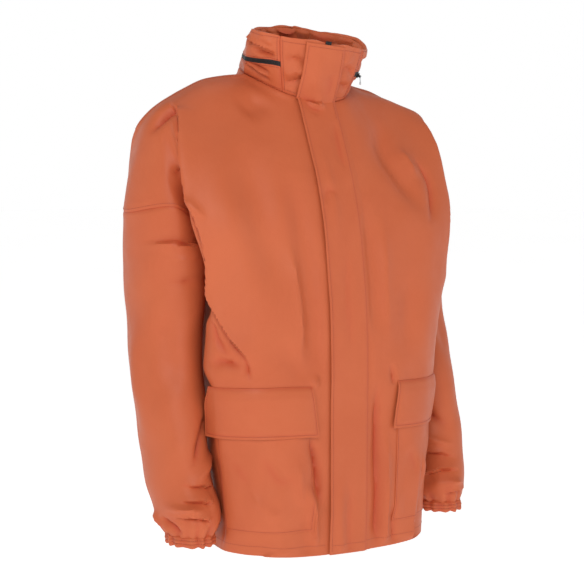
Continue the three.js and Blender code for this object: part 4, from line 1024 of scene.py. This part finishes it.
def pocket_surfaces(name, panel, strength):
    """Patch pocket and its flap, both made from the panel's own points moved out."""
    inner = 1.28 if name == "right" else 1.68
    u, v, grid = panel_piece(panel, inner + 0.06, 4.0, POCKET_TOP, POCKET_BOTTOM, 42, 46)
    pocket = Surface(grid, u, v, body_axis)
    s = ((u - u[0]) / (u[-1] - u[0]))[None]
    t = ((v - v[0]) / (v[-1] - v[0]))[:, None]
    edge = np.minimum(np.minimum(s, 1 - s) * 165, (1 - t) * 215)
    folds, dark = fold_heights(pocket, POCKET_FOLDS[name])
    lift = 1.5 + 1.6 * np.sin(math.pi * s) * np.sin(math.pi * np.clip(t * 0.9 + 0.1, 0, 1))
    height = lift + np.maximum(strength * folds, -1.6) * ease(edge / 9)
    height += 0.5 * strength * undulation(grid, 1.0, (70, 47, 33)) * ease(edge / 9)
    height -= 0.45 * np.exp(-(((edge - 3.2) / 0.9) ** 2)) + 0.25 * np.exp(-((edge / 0.9) ** 2))
    height = np.maximum(height, 1.25)
    pocket.push(height)
    # Painted shade: the folds' darkness and a darker groove along the edge stitching
    painted_shade = dark + 0.4 * np.exp(-(((edge - 3.2) / 1.2) ** 2))

    u, v, grid = panel_piece(panel, inner, 4.0, FLAP_TOP[name], FLAP_BOTTOM[name], 46, 22)
    wing = grid[:, -1] - grid[:, -3]
    wing /= np.linalg.norm(wing, axis=-1, keepdims=True)
    wing = wing * 0.75 + np.array([0, 0.25, 0])
    wing /= np.linalg.norm(wing, axis=-1, keepdims=True)
    t = (v - v[0]) / (v[-1] - v[0])
    reach = FLAP_WING * (0.75 + 0.45 * ease(t / 0.5))
    flare = grid[:, 0] - grid[:, 3]
    flare /= np.linalg.norm(flare, axis=-1, keepdims=True)
    share = ((u[-1] - u) / (u[-1] - u[0])) ** 2
    grid = grid + (flare * (FLAP_FLARE * t)[:, None])[:, None] * share[None, :, None]
    base = Surface(grid, u, v, body_axis)
    lifts = (2.2 + 3.0 * ease(t / 0.28))[:, None] + 1.2 * (t ** 2)[:, None] * (0.6 + 0.4 * np.sin(5 * u)[None])
    grid = grid + base.normals * lifts[..., None]
    extra = [grid[:, -1] + wing * (reach * f)[:, None] for f in (0.25, 0.5, 0.75, 0.92, 1.0)]
    grid = np.concatenate([grid, np.stack(extra, 1)], 1)
    u = np.concatenate([u, u[-1] + np.array([0.08, 0.16, 0.24, 0.295, 0.32])])
    flap = Surface(grid, u, v, body_axis)
    across = np.cumsum(np.linalg.norm(np.diff(grid[5], axis=0, prepend=grid[5][:1]), axis=-1))
    edge = np.minimum(np.minimum(across, across[-1] - across)[None], ((1 - t) * 80)[:, None])
    swell = np.sin(math.pi * across / across[-1])[None] * np.sin(math.pi * t)[:, None]
    beat = np.sin(across / 21 + 0.7)[None] * np.sin(2.6 * t)[:, None]
    height = strength * (0.9 * swell + 0.7 * beat) * ease(edge / 8)
    height += -0.5 * np.exp(-(((edge - 3.6) / 1.0) ** 2)) - 1.3 * np.exp(-((t / 0.035) ** 2))[:, None]
    height += 0.5 * np.exp(-(((t - 0.1) / 0.05) ** 2))[:, None]
    flap.push(height)
    # Painted shade on the flap: a darker groove along the edge stitching and along its sunk sewn top
    tone = 0.4 * np.exp(-(((edge - 3.6) / 1.2) ** 2)) + 0.6 * np.exp(-((t / 0.04) ** 2))[:, None]
    return pocket, painted_shade, flap, tone


def tape_object(name, left, right, stand, thickness, material, node):
    """Zip tape between two edge lines, as a shell."""
    shares = np.array([0.0, 0.12, 0.3, 0.5, 0.7, 0.88, 1.0])
    grid = left[:, None] + (right - left)[:, None] * shares[None, :, None]
    surface = Surface(grid, shares, np.arange(len(left), dtype=float), collar_axis if stand else body_axis)
    verts, faces, grid_of = shell(surface.points, surface.normals, thickness)
    obj = make_object(name, verts, faces, material, {"painted_shade": np.zeros(len(verts))})
    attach(obj, "coat")
    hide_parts(node)
    return obj, surface


def teeth_mesh(points, normals, pitch, size, offset):
    """Rows of zip teeth: small rounded blocks on both sides of a line, half a pitch apart."""
    lengths = np.linalg.norm(np.diff(points, axis=0), axis=1)
    along = np.concatenate([[0], np.cumsum(lengths)])
    profile = [(-0.5, -0.5), (0.5, -0.5), (0.5, 0.1), (0.28, 0.5), (-0.28, 0.5), (-0.5, 0.1)]
    verts, faces, total = [], [], 0
    for row, sign in enumerate((-1, 1)):
        at = np.arange(pitch * (0.5 + 0.5 * row), along[-1], pitch)
        pick = lambda values, where: np.stack([np.interp(where, along, values[:, n]) for n in range(3)], 1)
        middle = pick(points, at)
        heading = pick(points, at + 0.5) - pick(points, at - 0.5)
        heading /= np.maximum(np.linalg.norm(heading, axis=1, keepdims=True), 1e-9)
        out = pick(normals, at)
        out -= heading * (out * heading).sum(1, keepdims=True)
        out /= np.linalg.norm(out, axis=1, keepdims=True)
        across = np.cross(heading, out) * sign
        count = len(at)
        for end in (0, 1):
            taper = 1.0 if end == 0 else 0.7
            for a, b in profile:
                verts.append(middle + across * (offset + end * size[0]) + heading * a * size[1] * taper
                             + out * (b * size[2] * taper))
        base = total + np.arange(count)
        step = len(profile)
        for k in range(step):
            a, b = k, (k + 1) % step
            quad = (a, b, b + step, a + step)
            faces.append(np.stack([base + m * count for m in quad], 1))
        for end in (0, step):
            for quad in ((0, 1, 2, 5), (5, 2, 3, 4)):
                faces.append(np.stack([base + (end + m) * count for m in quad], 1))
        total += count * 2 * step
    return np.concatenate(verts), np.concatenate(faces)


def node_tree(name):
    material = bpy.data.materials.new(name)
    material.use_nodes = True
    nodes = material.node_tree.nodes
    links = material.node_tree.links
    shader = nodes["Principled BSDF"]
    place = nodes.new("ShaderNodeTexCoord")
    return material, nodes, links, shader, place.outputs["Object"]


def noise(nodes, links, place, scale, detail=3.0, roughness=0.5, distortion=0.0):
    node = nodes.new("ShaderNodeTexNoise")
    node.inputs["Scale"].default_value = scale
    node.inputs["Detail"].default_value = detail
    node.inputs["Roughness"].default_value = roughness
    node.inputs["Distortion"].default_value = distortion
    links.new(place, node.inputs["Vector"])
    return node.outputs["Fac"]


def mapped(nodes, links, value, low, high, to_low, to_high):
    node = nodes.new("ShaderNodeMapRange")
    node.inputs["From Min"].default_value = low
    node.inputs["From Max"].default_value = high
    node.inputs["To Min"].default_value = to_low
    node.inputs["To Max"].default_value = to_high
    links.new(value, node.inputs["Value"])
    return node.outputs["Result"]


def blended(nodes, links, share, first, second):
    """Colour mix of two colours or sockets."""
    node = nodes.new("ShaderNodeMix")
    node.data_type = "RGBA"
    links.new(share, node.inputs["Factor"])
    for slot, value in (("A", first), ("B", second)):
        socket = [s for s in node.inputs if s.name == slot and s.type == "RGBA"][0]
        if isinstance(value, bpy.types.NodeSocket):
            links.new(value, socket)
        else:
            socket.default_value = value
    return [s for s in node.outputs if s.type == "RGBA"][0]


def bumped(nodes, links, height, distance, strength=1.0, normal=None):
    node = nodes.new("ShaderNodeBump")
    node.inputs["Distance"].default_value = distance
    node.inputs["Strength"].default_value = strength
    links.new(height, node.inputs["Height"])
    if normal is not None:
        links.new(normal, node.inputs["Normal"])
    return node.outputs["Normal"]


def linear(colour):
    """A display colour as the linear values a shader takes."""
    return tuple(c / 12.92 if c < 0.04045 else ((c + 0.055) / 1.055) ** 2.4 for c in colour[:3]) + (1.0,)


def cloth_material(s):
    """Satin coated cloth: fine grain, slow colour drift, fine pale specks of wear scattered at random, and painted
    shade: a deeper red laid into the creases and seam grooves.
    """
    material, nodes, links, shader, place = node_tree("raincoat_cloth")
    drift = mapped(nodes, links, noise(nodes, links, place, 7.0, 4.0, 0.6, 0.6), 0.3, 0.7, 0.0, 1.0)
    base = blended(nodes, links, drift, linear(s.cloth_colour), linear(s.cloth_drift_colour))
    speck = mapped(nodes, links, noise(nodes, links, place, 900.0, 2.0), 0.35, 0.75, 0.0, 0.10)
    base = blended(nodes, links, speck, base, linear(s.wear_colour))
    # Painted shade: the per-point shade value tints the cloth towards a deeper red in creases and seam grooves
    mark = nodes.new("ShaderNodeAttribute")
    mark.attribute_name = "painted_shade"
    depth = mapped(nodes, links, mark.outputs["Fac"], 0.0, 1.4, 0.0, s.painted_shade_tint)
    base = blended(nodes, links, depth, base, linear(s.painted_shade_colour))
    links.new(base, shader.inputs["Base Color"])
    gloss = mapped(nodes, links, noise(nodes, links, place, 38.0, 5.0, 0.6), 0.3, 0.7,
                   s.cloth_roughness - 0.05, s.cloth_roughness + 0.07)
    links.new(gloss, shader.inputs["Roughness"])
    grain = bumped(nodes, links, noise(nodes, links, place, s.grain_scale, 2.0, 0.6), s.grain_depth, 0.5)
    soft = bumped(nodes, links, noise(nodes, links, place, 55.0, 3.0, 0.5, 0.8), 0.0008, 0.35, grain)
    links.new(soft, shader.inputs["Normal"])
    shader.inputs["Specular IOR Level"].default_value = 0.22
    shader.inputs["Sheen Weight"].default_value = 0.015
    shader.inputs["Sheen Roughness"].default_value = 0.45
    shader.inputs["Sheen Tint"].default_value = linear(s.wear_colour)
    return material


def thread_material(s):
    material, nodes, links, shader, place = node_tree("raincoat_thread")
    tone = mapped(nodes, links, noise(nodes, links, place, 420.0, 2.0), 0.3, 0.7, 0.0, 1.0)
    base = blended(nodes, links, tone, linear(s.thread_colour), linear([c * 0.82 for c in s.thread_colour]))
    links.new(base, shader.inputs["Base Color"])
    gloss = mapped(nodes, links, noise(nodes, links, place, 600.0, 2.0), 0.3, 0.7, 0.45, 0.65)
    links.new(gloss, shader.inputs["Roughness"])
    links.new(bumped(nodes, links, noise(nodes, links, place, 2600.0, 1.0), 0.0001, 0.6), shader.inputs["Normal"])
    return material


def zip_material(s, name, teeth):
    """Woven tape, or the harder and glossier plastic of the teeth."""
    material, nodes, links, shader, place = node_tree(name)
    weave = nodes.new("ShaderNodeTexWave")
    weave.inputs["Scale"].default_value = 260.0
    weave.inputs["Distortion"].default_value = 1.2
    links.new(place, weave.inputs["Vector"])
    light = [min(1.0, c * 1.9 + 0.02) for c in s.zip_colour]
    drift = noise(nodes, links, place, 160.0, 3.0) if teeth else weave.outputs["Fac"]
    links.new(blended(nodes, links, drift, linear(s.zip_colour), linear(light)), shader.inputs["Base Color"])
    low, high = (0.28, 0.42) if teeth else (0.62, 0.82)
    links.new(mapped(nodes, links, noise(nodes, links, place, 300.0, 2.0), 0.3, 0.7, low, high),
              shader.inputs["Roughness"])
    links.new(bumped(nodes, links, drift, 0.00012, 0.7), shader.inputs["Normal"])
    return material


def metal_material(name, colour, metallic, low, high, scale):
    """Painted or bare metal with fine scratches and rubbed patches."""
    material, nodes, links, shader, place = node_tree(name)
    rub = mapped(nodes, links, noise(nodes, links, place, scale, 4.0, 0.65), 0.35, 0.7, 0.0, 1.0)
    pale = [min(1.0, c * 1.35 + 0.03) for c in colour]
    links.new(blended(nodes, links, rub, linear(colour), linear(pale)), shader.inputs["Base Color"])
    links.new(mapped(nodes, links, rub, 0.0, 1.0, low, high), shader.inputs["Roughness"])
    links.new(bumped(nodes, links, noise(nodes, links, place, scale * 6, 2.0), 0.00006, 0.5), shader.inputs["Normal"])
    shader.inputs["Metallic"].default_value = metallic
    return material


def stage_material(s):
    material, nodes, links, shader, place = node_tree("raincoat_floor")
    tone = mapped(nodes, links, noise(nodes, links, place, 1.6, 3.0), 0.3, 0.7, 0.0, 1.0)
    links.new(blended(nodes, links, tone, linear((0.95, 0.95, 0.95)), linear((0.965, 0.963, 0.96))),
              shader.inputs["Base Color"])
    links.new(mapped(nodes, links, tone, 0.0, 1.0, 0.85, 0.95), shader.inputs["Roughness"])
    shader.inputs["Specular IOR Level"].default_value = 0.1
    shader.inputs["Emission Color"].default_value = (1.0, 1.0, 1.0, 1)
    shader.inputs["Emission Strength"].default_value = s.floor_glow
    return material

# Built pieces by node name, each as its surface, cloth thickness and object, and the plain-hung fronts
BUILT = {}


def settings():
    return bpy.context.scene.raincoat


def material_named(name):
    """The procedural material of that name, made once."""
    found = bpy.data.materials.get(name)
    if found:
        return found
    s = settings()
    makers = {
        "raincoat_cloth": lambda: cloth_material(s),
        "raincoat_thread": lambda: thread_material(s),
        "raincoat_zip_tape": lambda: zip_material(s, "raincoat_zip_tape", False),
        "raincoat_zip_teeth": lambda: zip_material(s, "raincoat_zip_teeth", True),
        "raincoat_slider_paint": lambda: metal_material("raincoat_slider_paint", s.zip_colour, 0.6, 0.25, 0.5, 220.0),
        "raincoat_pull_metal": lambda: metal_material("raincoat_pull_metal", s.pull_colour, 0.9, 0.22, 0.45, 260.0),
    }
    return makers[name]()


def coat_piece(name, surface, thickness, painted_shade):
    """A cloth piece of the coat, made as a shell with the cloth material and kept by name."""
    obj = cloth_object(name + "_cloth", surface, thickness, material_named("raincoat_cloth"), name, painted_shade)
    BUILT[name] = (surface, thickness, obj)
    return obj


def sew(name, lines, pitch=None):
    """Stitching of one piece along lines of points and normals."""
    s = settings()
    verts, faces = stitch_mesh(lines, (pitch or s.stitch_pitch) * 1000, s.stitch_pitch * 780, s.stitch_radius * 1000)
    obj = make_object(name + "_stitching", verts, faces, material_named("raincoat_thread"), smooth=80)
    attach(obj, "coat")
    return obj


class RAINCOAT_OT_body(bpy.types.Operator):
    """Builds the two fronts and the back with their folds, hem stitching and shoulder seams"""

    bl_idname = "raincoat.body"
    bl_label = "Coat body"

    def execute(self, context):
        strength = settings().fold_strength
        halves = {}
        for name in SIDES:
            plain, folded, painted_shade = front_surface(name, strength)
            coat_piece("front_" + name, folded, CLOTH, painted_shade)
            halves[name] = plain
        BUILT["plain_fronts"] = halves
        surface, painted_shade = back_surface(strength)
        coat_piece("back", surface, CLOTH, painted_shade)
        lines = []
        for name in SIDES:
            front = BUILT["front_" + name][0]
            inner = 0.88 if name == "right" else 0.52
            lines.append(line_between(front, [inner, 5.9], [11.76, 11.76], CLOTH, 120))
            lines.append(line_between(front, [2.1, 8.9], [0.16, 0.16], CLOTH, 90))
            lines.append(line_between(front, [6.1, 8.9], [3.9, 3.9], CLOTH, 60))
        lines.append(line_between(surface, [-5.9, 5.9], [11.76, 11.76], CLOTH, 200))
        for sign in (-1, 1):
            lines.append(line_between(surface, [sign * 6.1, sign * 7.9], [3.9, 3.9], CLOTH, 40))
        sew("body", lines)
        return {"FINISHED"}


class RAINCOAT_OT_sleeves(bpy.types.Operator):
    """Builds both sleeves and their elastic cuff casings"""

    bl_idname = "raincoat.sleeves"
    bl_label = "Sleeves and cuffs"

    def execute(self, context):
        s = settings()
        lines = []
        for name in SIDES:
            surface, painted_shade = sleeve_surface(name, s.fold_strength, s.gather_depth * 1000)
            coat_piece("sleeve_" + name, surface, CLOTH, painted_shade)
            cuff, tone = cuff_surface(name, s.gather_depth * 900)
            # tone holds the painted shade in the cuff's gather hollows
            coat_piece("cuff_" + name, cuff, 1.8, tone)
            for v in (0.28, 0.62):
                row = cuff.at(np.linspace(0.01, 6.2, 500), np.full(500, v))
                out = cuff.at(np.linspace(0.01, 6.2, 500), np.full(500, v), cuff.normals)
                lines.append((row + out * 0.9, out))
        sew("cuff", lines, 0.0031)
        return {"FINISHED"}


class RAINCOAT_OT_collar(bpy.types.Operator):
    """Builds the stand collar with the rolled hood inside it, and the collar's stitching"""

    bl_idname = "raincoat.collar"
    bl_label = "Collar"

    def execute(self, context):
        strength = settings().fold_strength
        base = lambda k: np.full(len(k), BASE_SHARE)
        rim = lambda k: np.ones(len(k))
        low_zip = lambda k: zip_share(k, -1, 0.4)
        high_zip = lambda k: zip_share(k, 1, 0.4)
        band = (SEAM_COLUMN, LAST_COLUMN - SEAM_COLUMN)
        table = (
            ("collar_front_right", 0, SEAM_COLUMN, base, rim, True, 30),
            ("collar_front_left", LAST_COLUMN - SEAM_COLUMN, LAST_COLUMN, base, rim, True, 30),
            ("collar_band_lower", *band, base, low_zip, False, 150),
            ("collar_hood_cover", *band, high_zip, rim, True, 150),
        )
        lines = []
        for name, first, last, low, high, rolls, count in table:
            surface, painted_shade = collar_surface(first, last, low, high, strength, rolls, count)
            coat_piece(name, surface, COLLAR_CLOTH, painted_shade)
            us = surface.us
            flat = lambda v: line_between(surface, [us[0] + 0.15, us[-1] - 0.15], [v, v], COLLAR_CLOTH, 8 * len(us))
            if rolls:
                lines.append(flat(0.78))
                for side in (us[0] + 0.28, us[-1] - 0.28):
                    lines.append(line_between(surface, [side, side], [0.03, 0.8], COLLAR_CLOTH, 60))
            if name == "collar_hood_cover":
                lines += [flat(0.045)]
            if name == "collar_band_lower":
                lines += [flat(0.93), flat(0.08)]
            if name.startswith("collar_front"):
                lines.append(flat(0.05))
        sew("collar", lines, 0.0030)
        return {"FINISHED"}


class RAINCOAT_OT_collar_inside(bpy.types.Operator):
    """Builds the inner collar, crumpled by the hood that is rolled up behind it"""

    bl_idname = "raincoat.collar_inside"
    bl_label = "Inner collar"

    def execute(self, context):
        ks = np.linspace(0, LAST_COLUMN, 200)
        index = np.linspace(0, 4, 44)
        shares = np.interp(index, range(5), (0.02, 0.25, 0.5, 0.75, 0.96))
        inward = np.interp(index, range(5), (3, 8, 9, 9, 6))
        grid = collar_points(ks[None], shares[:, None], inward[:, None])
        surface = Surface(grid, ks, np.linspace(0, 1, len(index)), collar_axis)
        u = ks[None]
        v = np.linspace(0, 1, len(index))[:, None]
        hide = ease(v / 0.12) * ease((1 - v) / 0.04) * ease(u / 0.8) * ease((LAST_COLUMN - u) / 0.8)
        crumple = (1.6 * np.sin(7.5 * v + 1.3 * np.sin(0.9 * u) + 0.4 * u) + 1.1 * np.sin(13 * v - 0.8 * u)
                   + 2.0 * np.sin(1.9 * u + 4 * v)) * hide
        surface.push(-1.2 * hide - np.abs(crumple) * settings().fold_strength)
        # Painted shade: the crumples where the crumple value is positive are tinted darker
        coat_piece("collar_inner", surface, COLLAR_CLOTH, np.clip(crumple / 3, 0, 1))
        return {"FINISHED"}


class RAINCOAT_OT_storm_flap(bpy.types.Operator):
    """Builds the storm flap over the front zip and its edge stitching"""

    bl_idname = "raincoat.storm_flap"
    bl_label = "Storm flap"

    def execute(self, context):
        surface, painted_shade = flap_surface(BUILT["plain_fronts"], settings().fold_strength)
        coat_piece("storm_flap", surface, FLAP_CLOTH, painted_shade)
        edge = FLAP_FREE_EDGE + 3.6
        lines = [line_between(surface, [edge, edge], [0.006, 0.994], FLAP_CLOTH, 500),
                 line_between(surface, [edge, FLAP_SEWN_EDGE - 2], [0.006, 0.006], FLAP_CLOTH, 60),
                 line_between(surface, [edge, FLAP_SEWN_EDGE - 3], [0.982, 0.982], FLAP_CLOTH, 60),
                 line_between(surface, [FLAP_SEWN_EDGE - 5, FLAP_SEWN_EDGE - 5], [0.01, 0.15], FLAP_CLOTH, 90)]
        sew("storm_flap", lines)
        return {"FINISHED"}


class RAINCOAT_OT_pockets(bpy.types.Operator):
    """Builds the patch pockets and their flaps with their stitching"""

    bl_idname = "raincoat.pockets"
    bl_label = "Pockets"

    def execute(self, context):
        lines = []
        for name in SIDES:
            panel = BUILT["front_" + name][0]
            pocket, painted_shade, flap, tone = pocket_surfaces(name, panel, settings().fold_strength)
            coat_piece("pocket_" + name, pocket, CLOTH, painted_shade)
            # tone holds the flap's painted shade
            coat_piece("pocket_flap_" + name, flap, FLAP_CLOTH, tone)
            u, v = pocket.us, pocket.vs
            du = 3.2 * (u[-1] - u[0]) / 165
            dv = 3.2 * (v[-1] - v[0]) / 215
            lines.append(line_between(pocket, [u[0] + du, u[0] + du, u[-1] - du, u[-1] - du],
                                      [v[0] + 0.02, v[-1] - dv, v[-1] - dv, v[0] + 0.02], CLOTH))
            u, v = flap.us, flap.vs
            du = 3.6 * (u[-1] - u[0]) / 190
            dv = 3.6 * (v[-1] - v[0]) / 80
            lines.append(line_between(flap, [u[0] + du, u[0] + du, u[-1] - du, u[-1] - du],
                                      [v[0] + 0.03, v[-1] - dv, v[-1] - dv, v[0] + 0.03], FLAP_CLOTH))
        sew("pocket", lines)
        return {"FINISHED"}


class RAINCOAT_OT_zips(bpy.types.Operator):
    """Builds the tapes and teeth of the front zip and of the hood zip round the collar"""

    bl_idname = "raincoat.zips"
    bl_label = "Zips"

    def execute(self, context):
        s = settings()
        halves = BUILT["plain_fronts"]
        right = front_line(0, halves, "right")
        left = front_line(LAST_COLUMN, halves, "left")
        top = np.array([0, -1, 2.5])
        right = np.concatenate([right[:1] + top, right])
        left = np.concatenate([left[:1] + top, left])
        inner_right = drawn(right, left, 0.5)
        inner_left = drawn(left, right, 0.5)
        _, surface = tape_object("front_zip_tape", inner_right, inner_left, False, 2.2,
                                    material_named("raincoat_zip_tape"), "front_zip")
        middle = (inner_right + inner_left) / 2
        normals = surface.at(np.full(len(middle), 0.5), np.arange(len(middle)), surface.normals)
        parts = [teeth_mesh(middle + normals * 1.2, normals, s.tooth_pitch * 1000, (2.3, 1.3, 0.9), 0.1)]
        ks = np.linspace(SEAM_COLUMN, LAST_COLUMN - SEAM_COLUMN, 150)
        lower = collar_points(ks, zip_share(ks, -1, -0.05))
        upper = collar_points(ks, zip_share(ks, 1, -0.05))
        lower[[0, -1]] = drawn(lower[[0, -1]], lower[[1, -2]], 0.4)
        upper[[0, -1]] = drawn(upper[[0, -1]], upper[[1, -2]], 0.4)
        _, surface = tape_object("collar_zip_tape", upper, lower, True, COLLAR_CLOTH,
                                    material_named("raincoat_zip_tape"), "collar_zip")
        middle = (upper + lower) / 2
        normals = surface.at(np.full(len(middle), 0.5), np.arange(len(middle)), surface.normals)
        parts.append(teeth_mesh(middle[2:-2] + normals[2:-2] * 0.8, normals[2:-2], s.tooth_pitch * 800,
                                (1.7, 1.0, 0.8), 0.1))
        for name, (verts, faces) in zip(("front_zip_teeth", "collar_zip_teeth"), parts):
            obj = make_object(name, verts, faces, material_named("raincoat_zip_teeth"), smooth=35)
            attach(obj, "coat")
        return {"FINISHED"}


class RAINCOAT_OT_hardware(bpy.types.Operator):
    """Gives the collar zip's slider and pull tab their metal materials"""

    bl_idname = "raincoat.hardware"
    bl_label = "Zip slider and pull"

    def execute(self, context):
        for node, material in (("collar_zip_slider", "raincoat_slider_paint"),
                               ("collar_zip_pull", "raincoat_pull_metal")):
            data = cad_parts[node].data
            data.materials.clear()
            data.materials.append(material_named(material))
        return {"FINISHED"}


class RAINCOAT_OT_stage(bpy.types.Operator):
    """Sets the pale floor, the soft studio light and the camera"""

    bl_idname = "raincoat.stage"
    bl_label = "Stage, light and camera"

    def execute(self, context):
        s = settings()
        scene = context.scene
        scene.view_settings.view_transform = "Standard"
        ring = np.linspace(0, 2 * math.pi, 65)[:-1]
        radii = (0.0, 1.2, 3.0, 6.5, 14.0)
        verts = np.array([(1000 * r * math.cos(a), 1000 * r * math.sin(a), 1000 * s.floor_height)
                          for r in radii[1:] for a in ring])
        faces = [(64 * i + j, 64 * i + (j + 1) % 64, 64 * (i + 1) + (j + 1) % 64, 64 * (i + 1) + j)
                 for i in range(3) for j in range(64)]
        inner = [(j, (j + 1) % 64, (64 - j - 2) % 64, (64 - j - 1) % 64) for j in range(31)]
        floor = make_object("stage_floor", verts, np.array(faces + inner), stage_material(s))
        world = bpy.data.worlds.new("studio")
        scene.world = world
        world.use_nodes = True
        nodes = world.node_tree.nodes
        links = world.node_tree.links
        back = nodes["Background"]
        back.inputs["Color"].default_value = (1.0, 1.0, 1.0, 1)
        way = nodes.new("ShaderNodeSeparateXYZ")
        links.new(nodes.new("ShaderNodeTexCoord").outputs["Generated"], way.inputs[0])
        share = mapped(nodes, links, way.outputs["Z"], 0.16, 0.5, s.world_light, s.world_above)
        links.new(share, back.inputs["Strength"])
        for name, place, aim, size, power in (
            ("key", (-1.9, -2.6, 1.5), (0, 0, -0.25), (1.7, 1.9), s.key_light),
            ("fill", (1.9, -2.9, 0.6), (0, 0, -0.35), (1.6, 2.0), s.fill_light),
            ("top", (0.3, 0.6, 2.4), (0, 0, -0.1), (1.8, 1.4), s.top_light),
        ):
            light = bpy.data.lights.new(name, "AREA")
            light.shape = "RECTANGLE"
            light.size, light.size_y = size
            light.energy = power
            lamp = bpy.data.objects.new(name, light)
            lamp.location = place
            lamp.rotation_euler = (Vector(aim) - Vector(place)).to_track_quat("-Z", "Y").to_euler()
            scene.collection.objects.link(lamp)
        camera = bpy.data.cameras.new("camera")
        camera.lens = s.lens
        camera.sensor_width = 36
        camera.clip_end = 60
        view = bpy.data.objects.new("camera", camera)
        a, e = math.radians(s.azimuth), math.radians(s.elevation)
        ahead = Vector((math.sin(a) * math.cos(e), -math.cos(a) * math.cos(e), math.sin(e)))
        across = Vector((math.cos(a), math.sin(a), 0))
        up = ahead.cross(across)
        middle = Vector((0, 0, -0.190))
        view.location = middle + ahead * s.distance
        aim = middle + across * s.aim_across + up * s.aim_up
        view.rotation_euler = (aim - view.location).to_track_quat("-Z", "Y").to_euler()
        scene.collection.objects.link(view)
        scene.camera = view
        return {"FINISHED"}


def colour(name, description, value):
    return bpy.props.FloatVectorProperty(name=name, description=description, default=value, size=3,
                                         subtype="COLOR_GAMMA", min=0, max=1)


def length(name, description, value):
    return bpy.props.FloatProperty(name=name, description=description, default=value, unit="LENGTH",
                                   subtype="DISTANCE", precision=5)


def number(name, description, value):
    return bpy.props.FloatProperty(name=name, description=description, default=value)


class RaincoatSettings(bpy.types.PropertyGroup):
    """Sizes, colours and lights of the raincoat"""

    cloth_colour: colour("Cloth", "Main colour of the coated cloth", (0.75, 0.375, 0.232))
    cloth_drift_colour: colour("Cloth drift", "Colour the cloth drifts to", (0.73, 0.352, 0.212))
    # Painted shade: the deeper colour that creases and seam grooves are tinted towards
    painted_shade_colour: colour("Creases", "Deeper colour in creases and seams", (0.68, 0.13, 0.12))
    wear_colour: colour("Wear", "Paler colour of rubbed coating", (0.82, 0.47, 0.33))
    thread_colour: colour("Thread", "Colour of the stitching", (0.62, 0.22, 0.13))
    zip_colour: colour("Zips", "Colour of zip tapes and teeth", (0.035, 0.035, 0.04))
    pull_colour: colour("Pull tab", "Metal of the pull tab", (0.56, 0.57, 0.58))
    # Painted shade: how far creases and seam grooves are tinted towards that colour
    painted_shade_tint: number("Crease tint", "How far creases turn to their deeper colour", 0.5)
    cloth_roughness: number("Roughness", "Roughness of the coating", 0.47)
    grain_scale: number("Grain scale", "Grains per metre of the coating", 620.0)
    grain_depth: length("Grain depth", "Depth of the coating's grain", 0.00018)
    fold_strength: number("Fold strength", "Share of the tables' fold depths", 2.3)
    gather_depth: length("Gather depth", "Depth of the gathers at the cuffs", 0.0017)
    stitch_pitch: length("Stitch pitch", "Distance from stitch to stitch", 0.0036)
    stitch_radius: length("Stitch radius", "Radius of the thread", 0.00038)
    tooth_pitch: length("Tooth pitch", "Distance from tooth to tooth", 0.0024)
    key_light: number("Key light", "Power of the key light in watts", 57.0)
    fill_light: number("Fill light", "Power of the fill light in watts", 4.0)
    top_light: number("Top light", "Power of the top light in watts", 7.0)
    world_light: number("Light around", "Strength of the surrounding light near the horizon", 1.0)
    world_above: number("Light above", "Strength of the surrounding light overhead", 0.3)
    floor_glow: number("Floor glow", "Light of the lit floor itself", 0.64)
    floor_height: length("Floor height", "Height of the floor", -1.05)
    lens: number("Lens", "Focal length in millimetres", 112.08)
    distance: length("Distance", "Camera distance", 3.0)
    azimuth: number("Azimuth", "Camera azimuth in degrees", -32.0)
    elevation: number("Elevation", "Camera elevation in degrees", 3.0)
    aim_across: length("Aim across", "Camera aim to the right of the origin", -0.02145)
    aim_up: length("Aim up", "Camera aim above the middle", -0.160)


class RAINCOAT_PT_panel(bpy.types.Panel):
    """Sidebar panel of the raincoat"""

    bl_idname = "RAINCOAT_PT_panel"
    bl_label = "Raincoat"
    bl_space_type = "VIEW_3D"
    bl_region_type = "UI"
    bl_category = "Raincoat"

    def draw(self, context):
        for key in RaincoatSettings.__annotations__:
            self.layout.prop(context.scene.raincoat, key)
        for operator in OPERATORS:
            self.layout.operator(operator.bl_idname)


OPERATORS = (
    RAINCOAT_OT_body,
    RAINCOAT_OT_sleeves,
    RAINCOAT_OT_collar,
    RAINCOAT_OT_collar_inside,
    RAINCOAT_OT_storm_flap,
    RAINCOAT_OT_pockets,
    RAINCOAT_OT_zips,
    RAINCOAT_OT_hardware,
    RAINCOAT_OT_stage,
)
CLASSES = (RaincoatSettings, *OPERATORS, RAINCOAT_PT_panel)


def register():
    for cls in CLASSES:
        bpy.utils.register_class(cls)
    bpy.types.Scene.raincoat = bpy.props.PointerProperty(type=RaincoatSettings)


def unregister():
    del bpy.types.Scene.raincoat
    for cls in reversed(CLASSES):
        bpy.utils.unregister_class(cls)


def main():
    register()
    bpy.ops.raincoat.body()
    bpy.ops.raincoat.sleeves()
    bpy.ops.raincoat.collar()
    bpy.ops.raincoat.collar_inside()
    bpy.ops.raincoat.storm_flap()
    bpy.ops.raincoat.pockets()
    bpy.ops.raincoat.zips()
    bpy.ops.raincoat.hardware()
    bpy.ops.raincoat.stage()


if __name__ == "__main__":
    main()
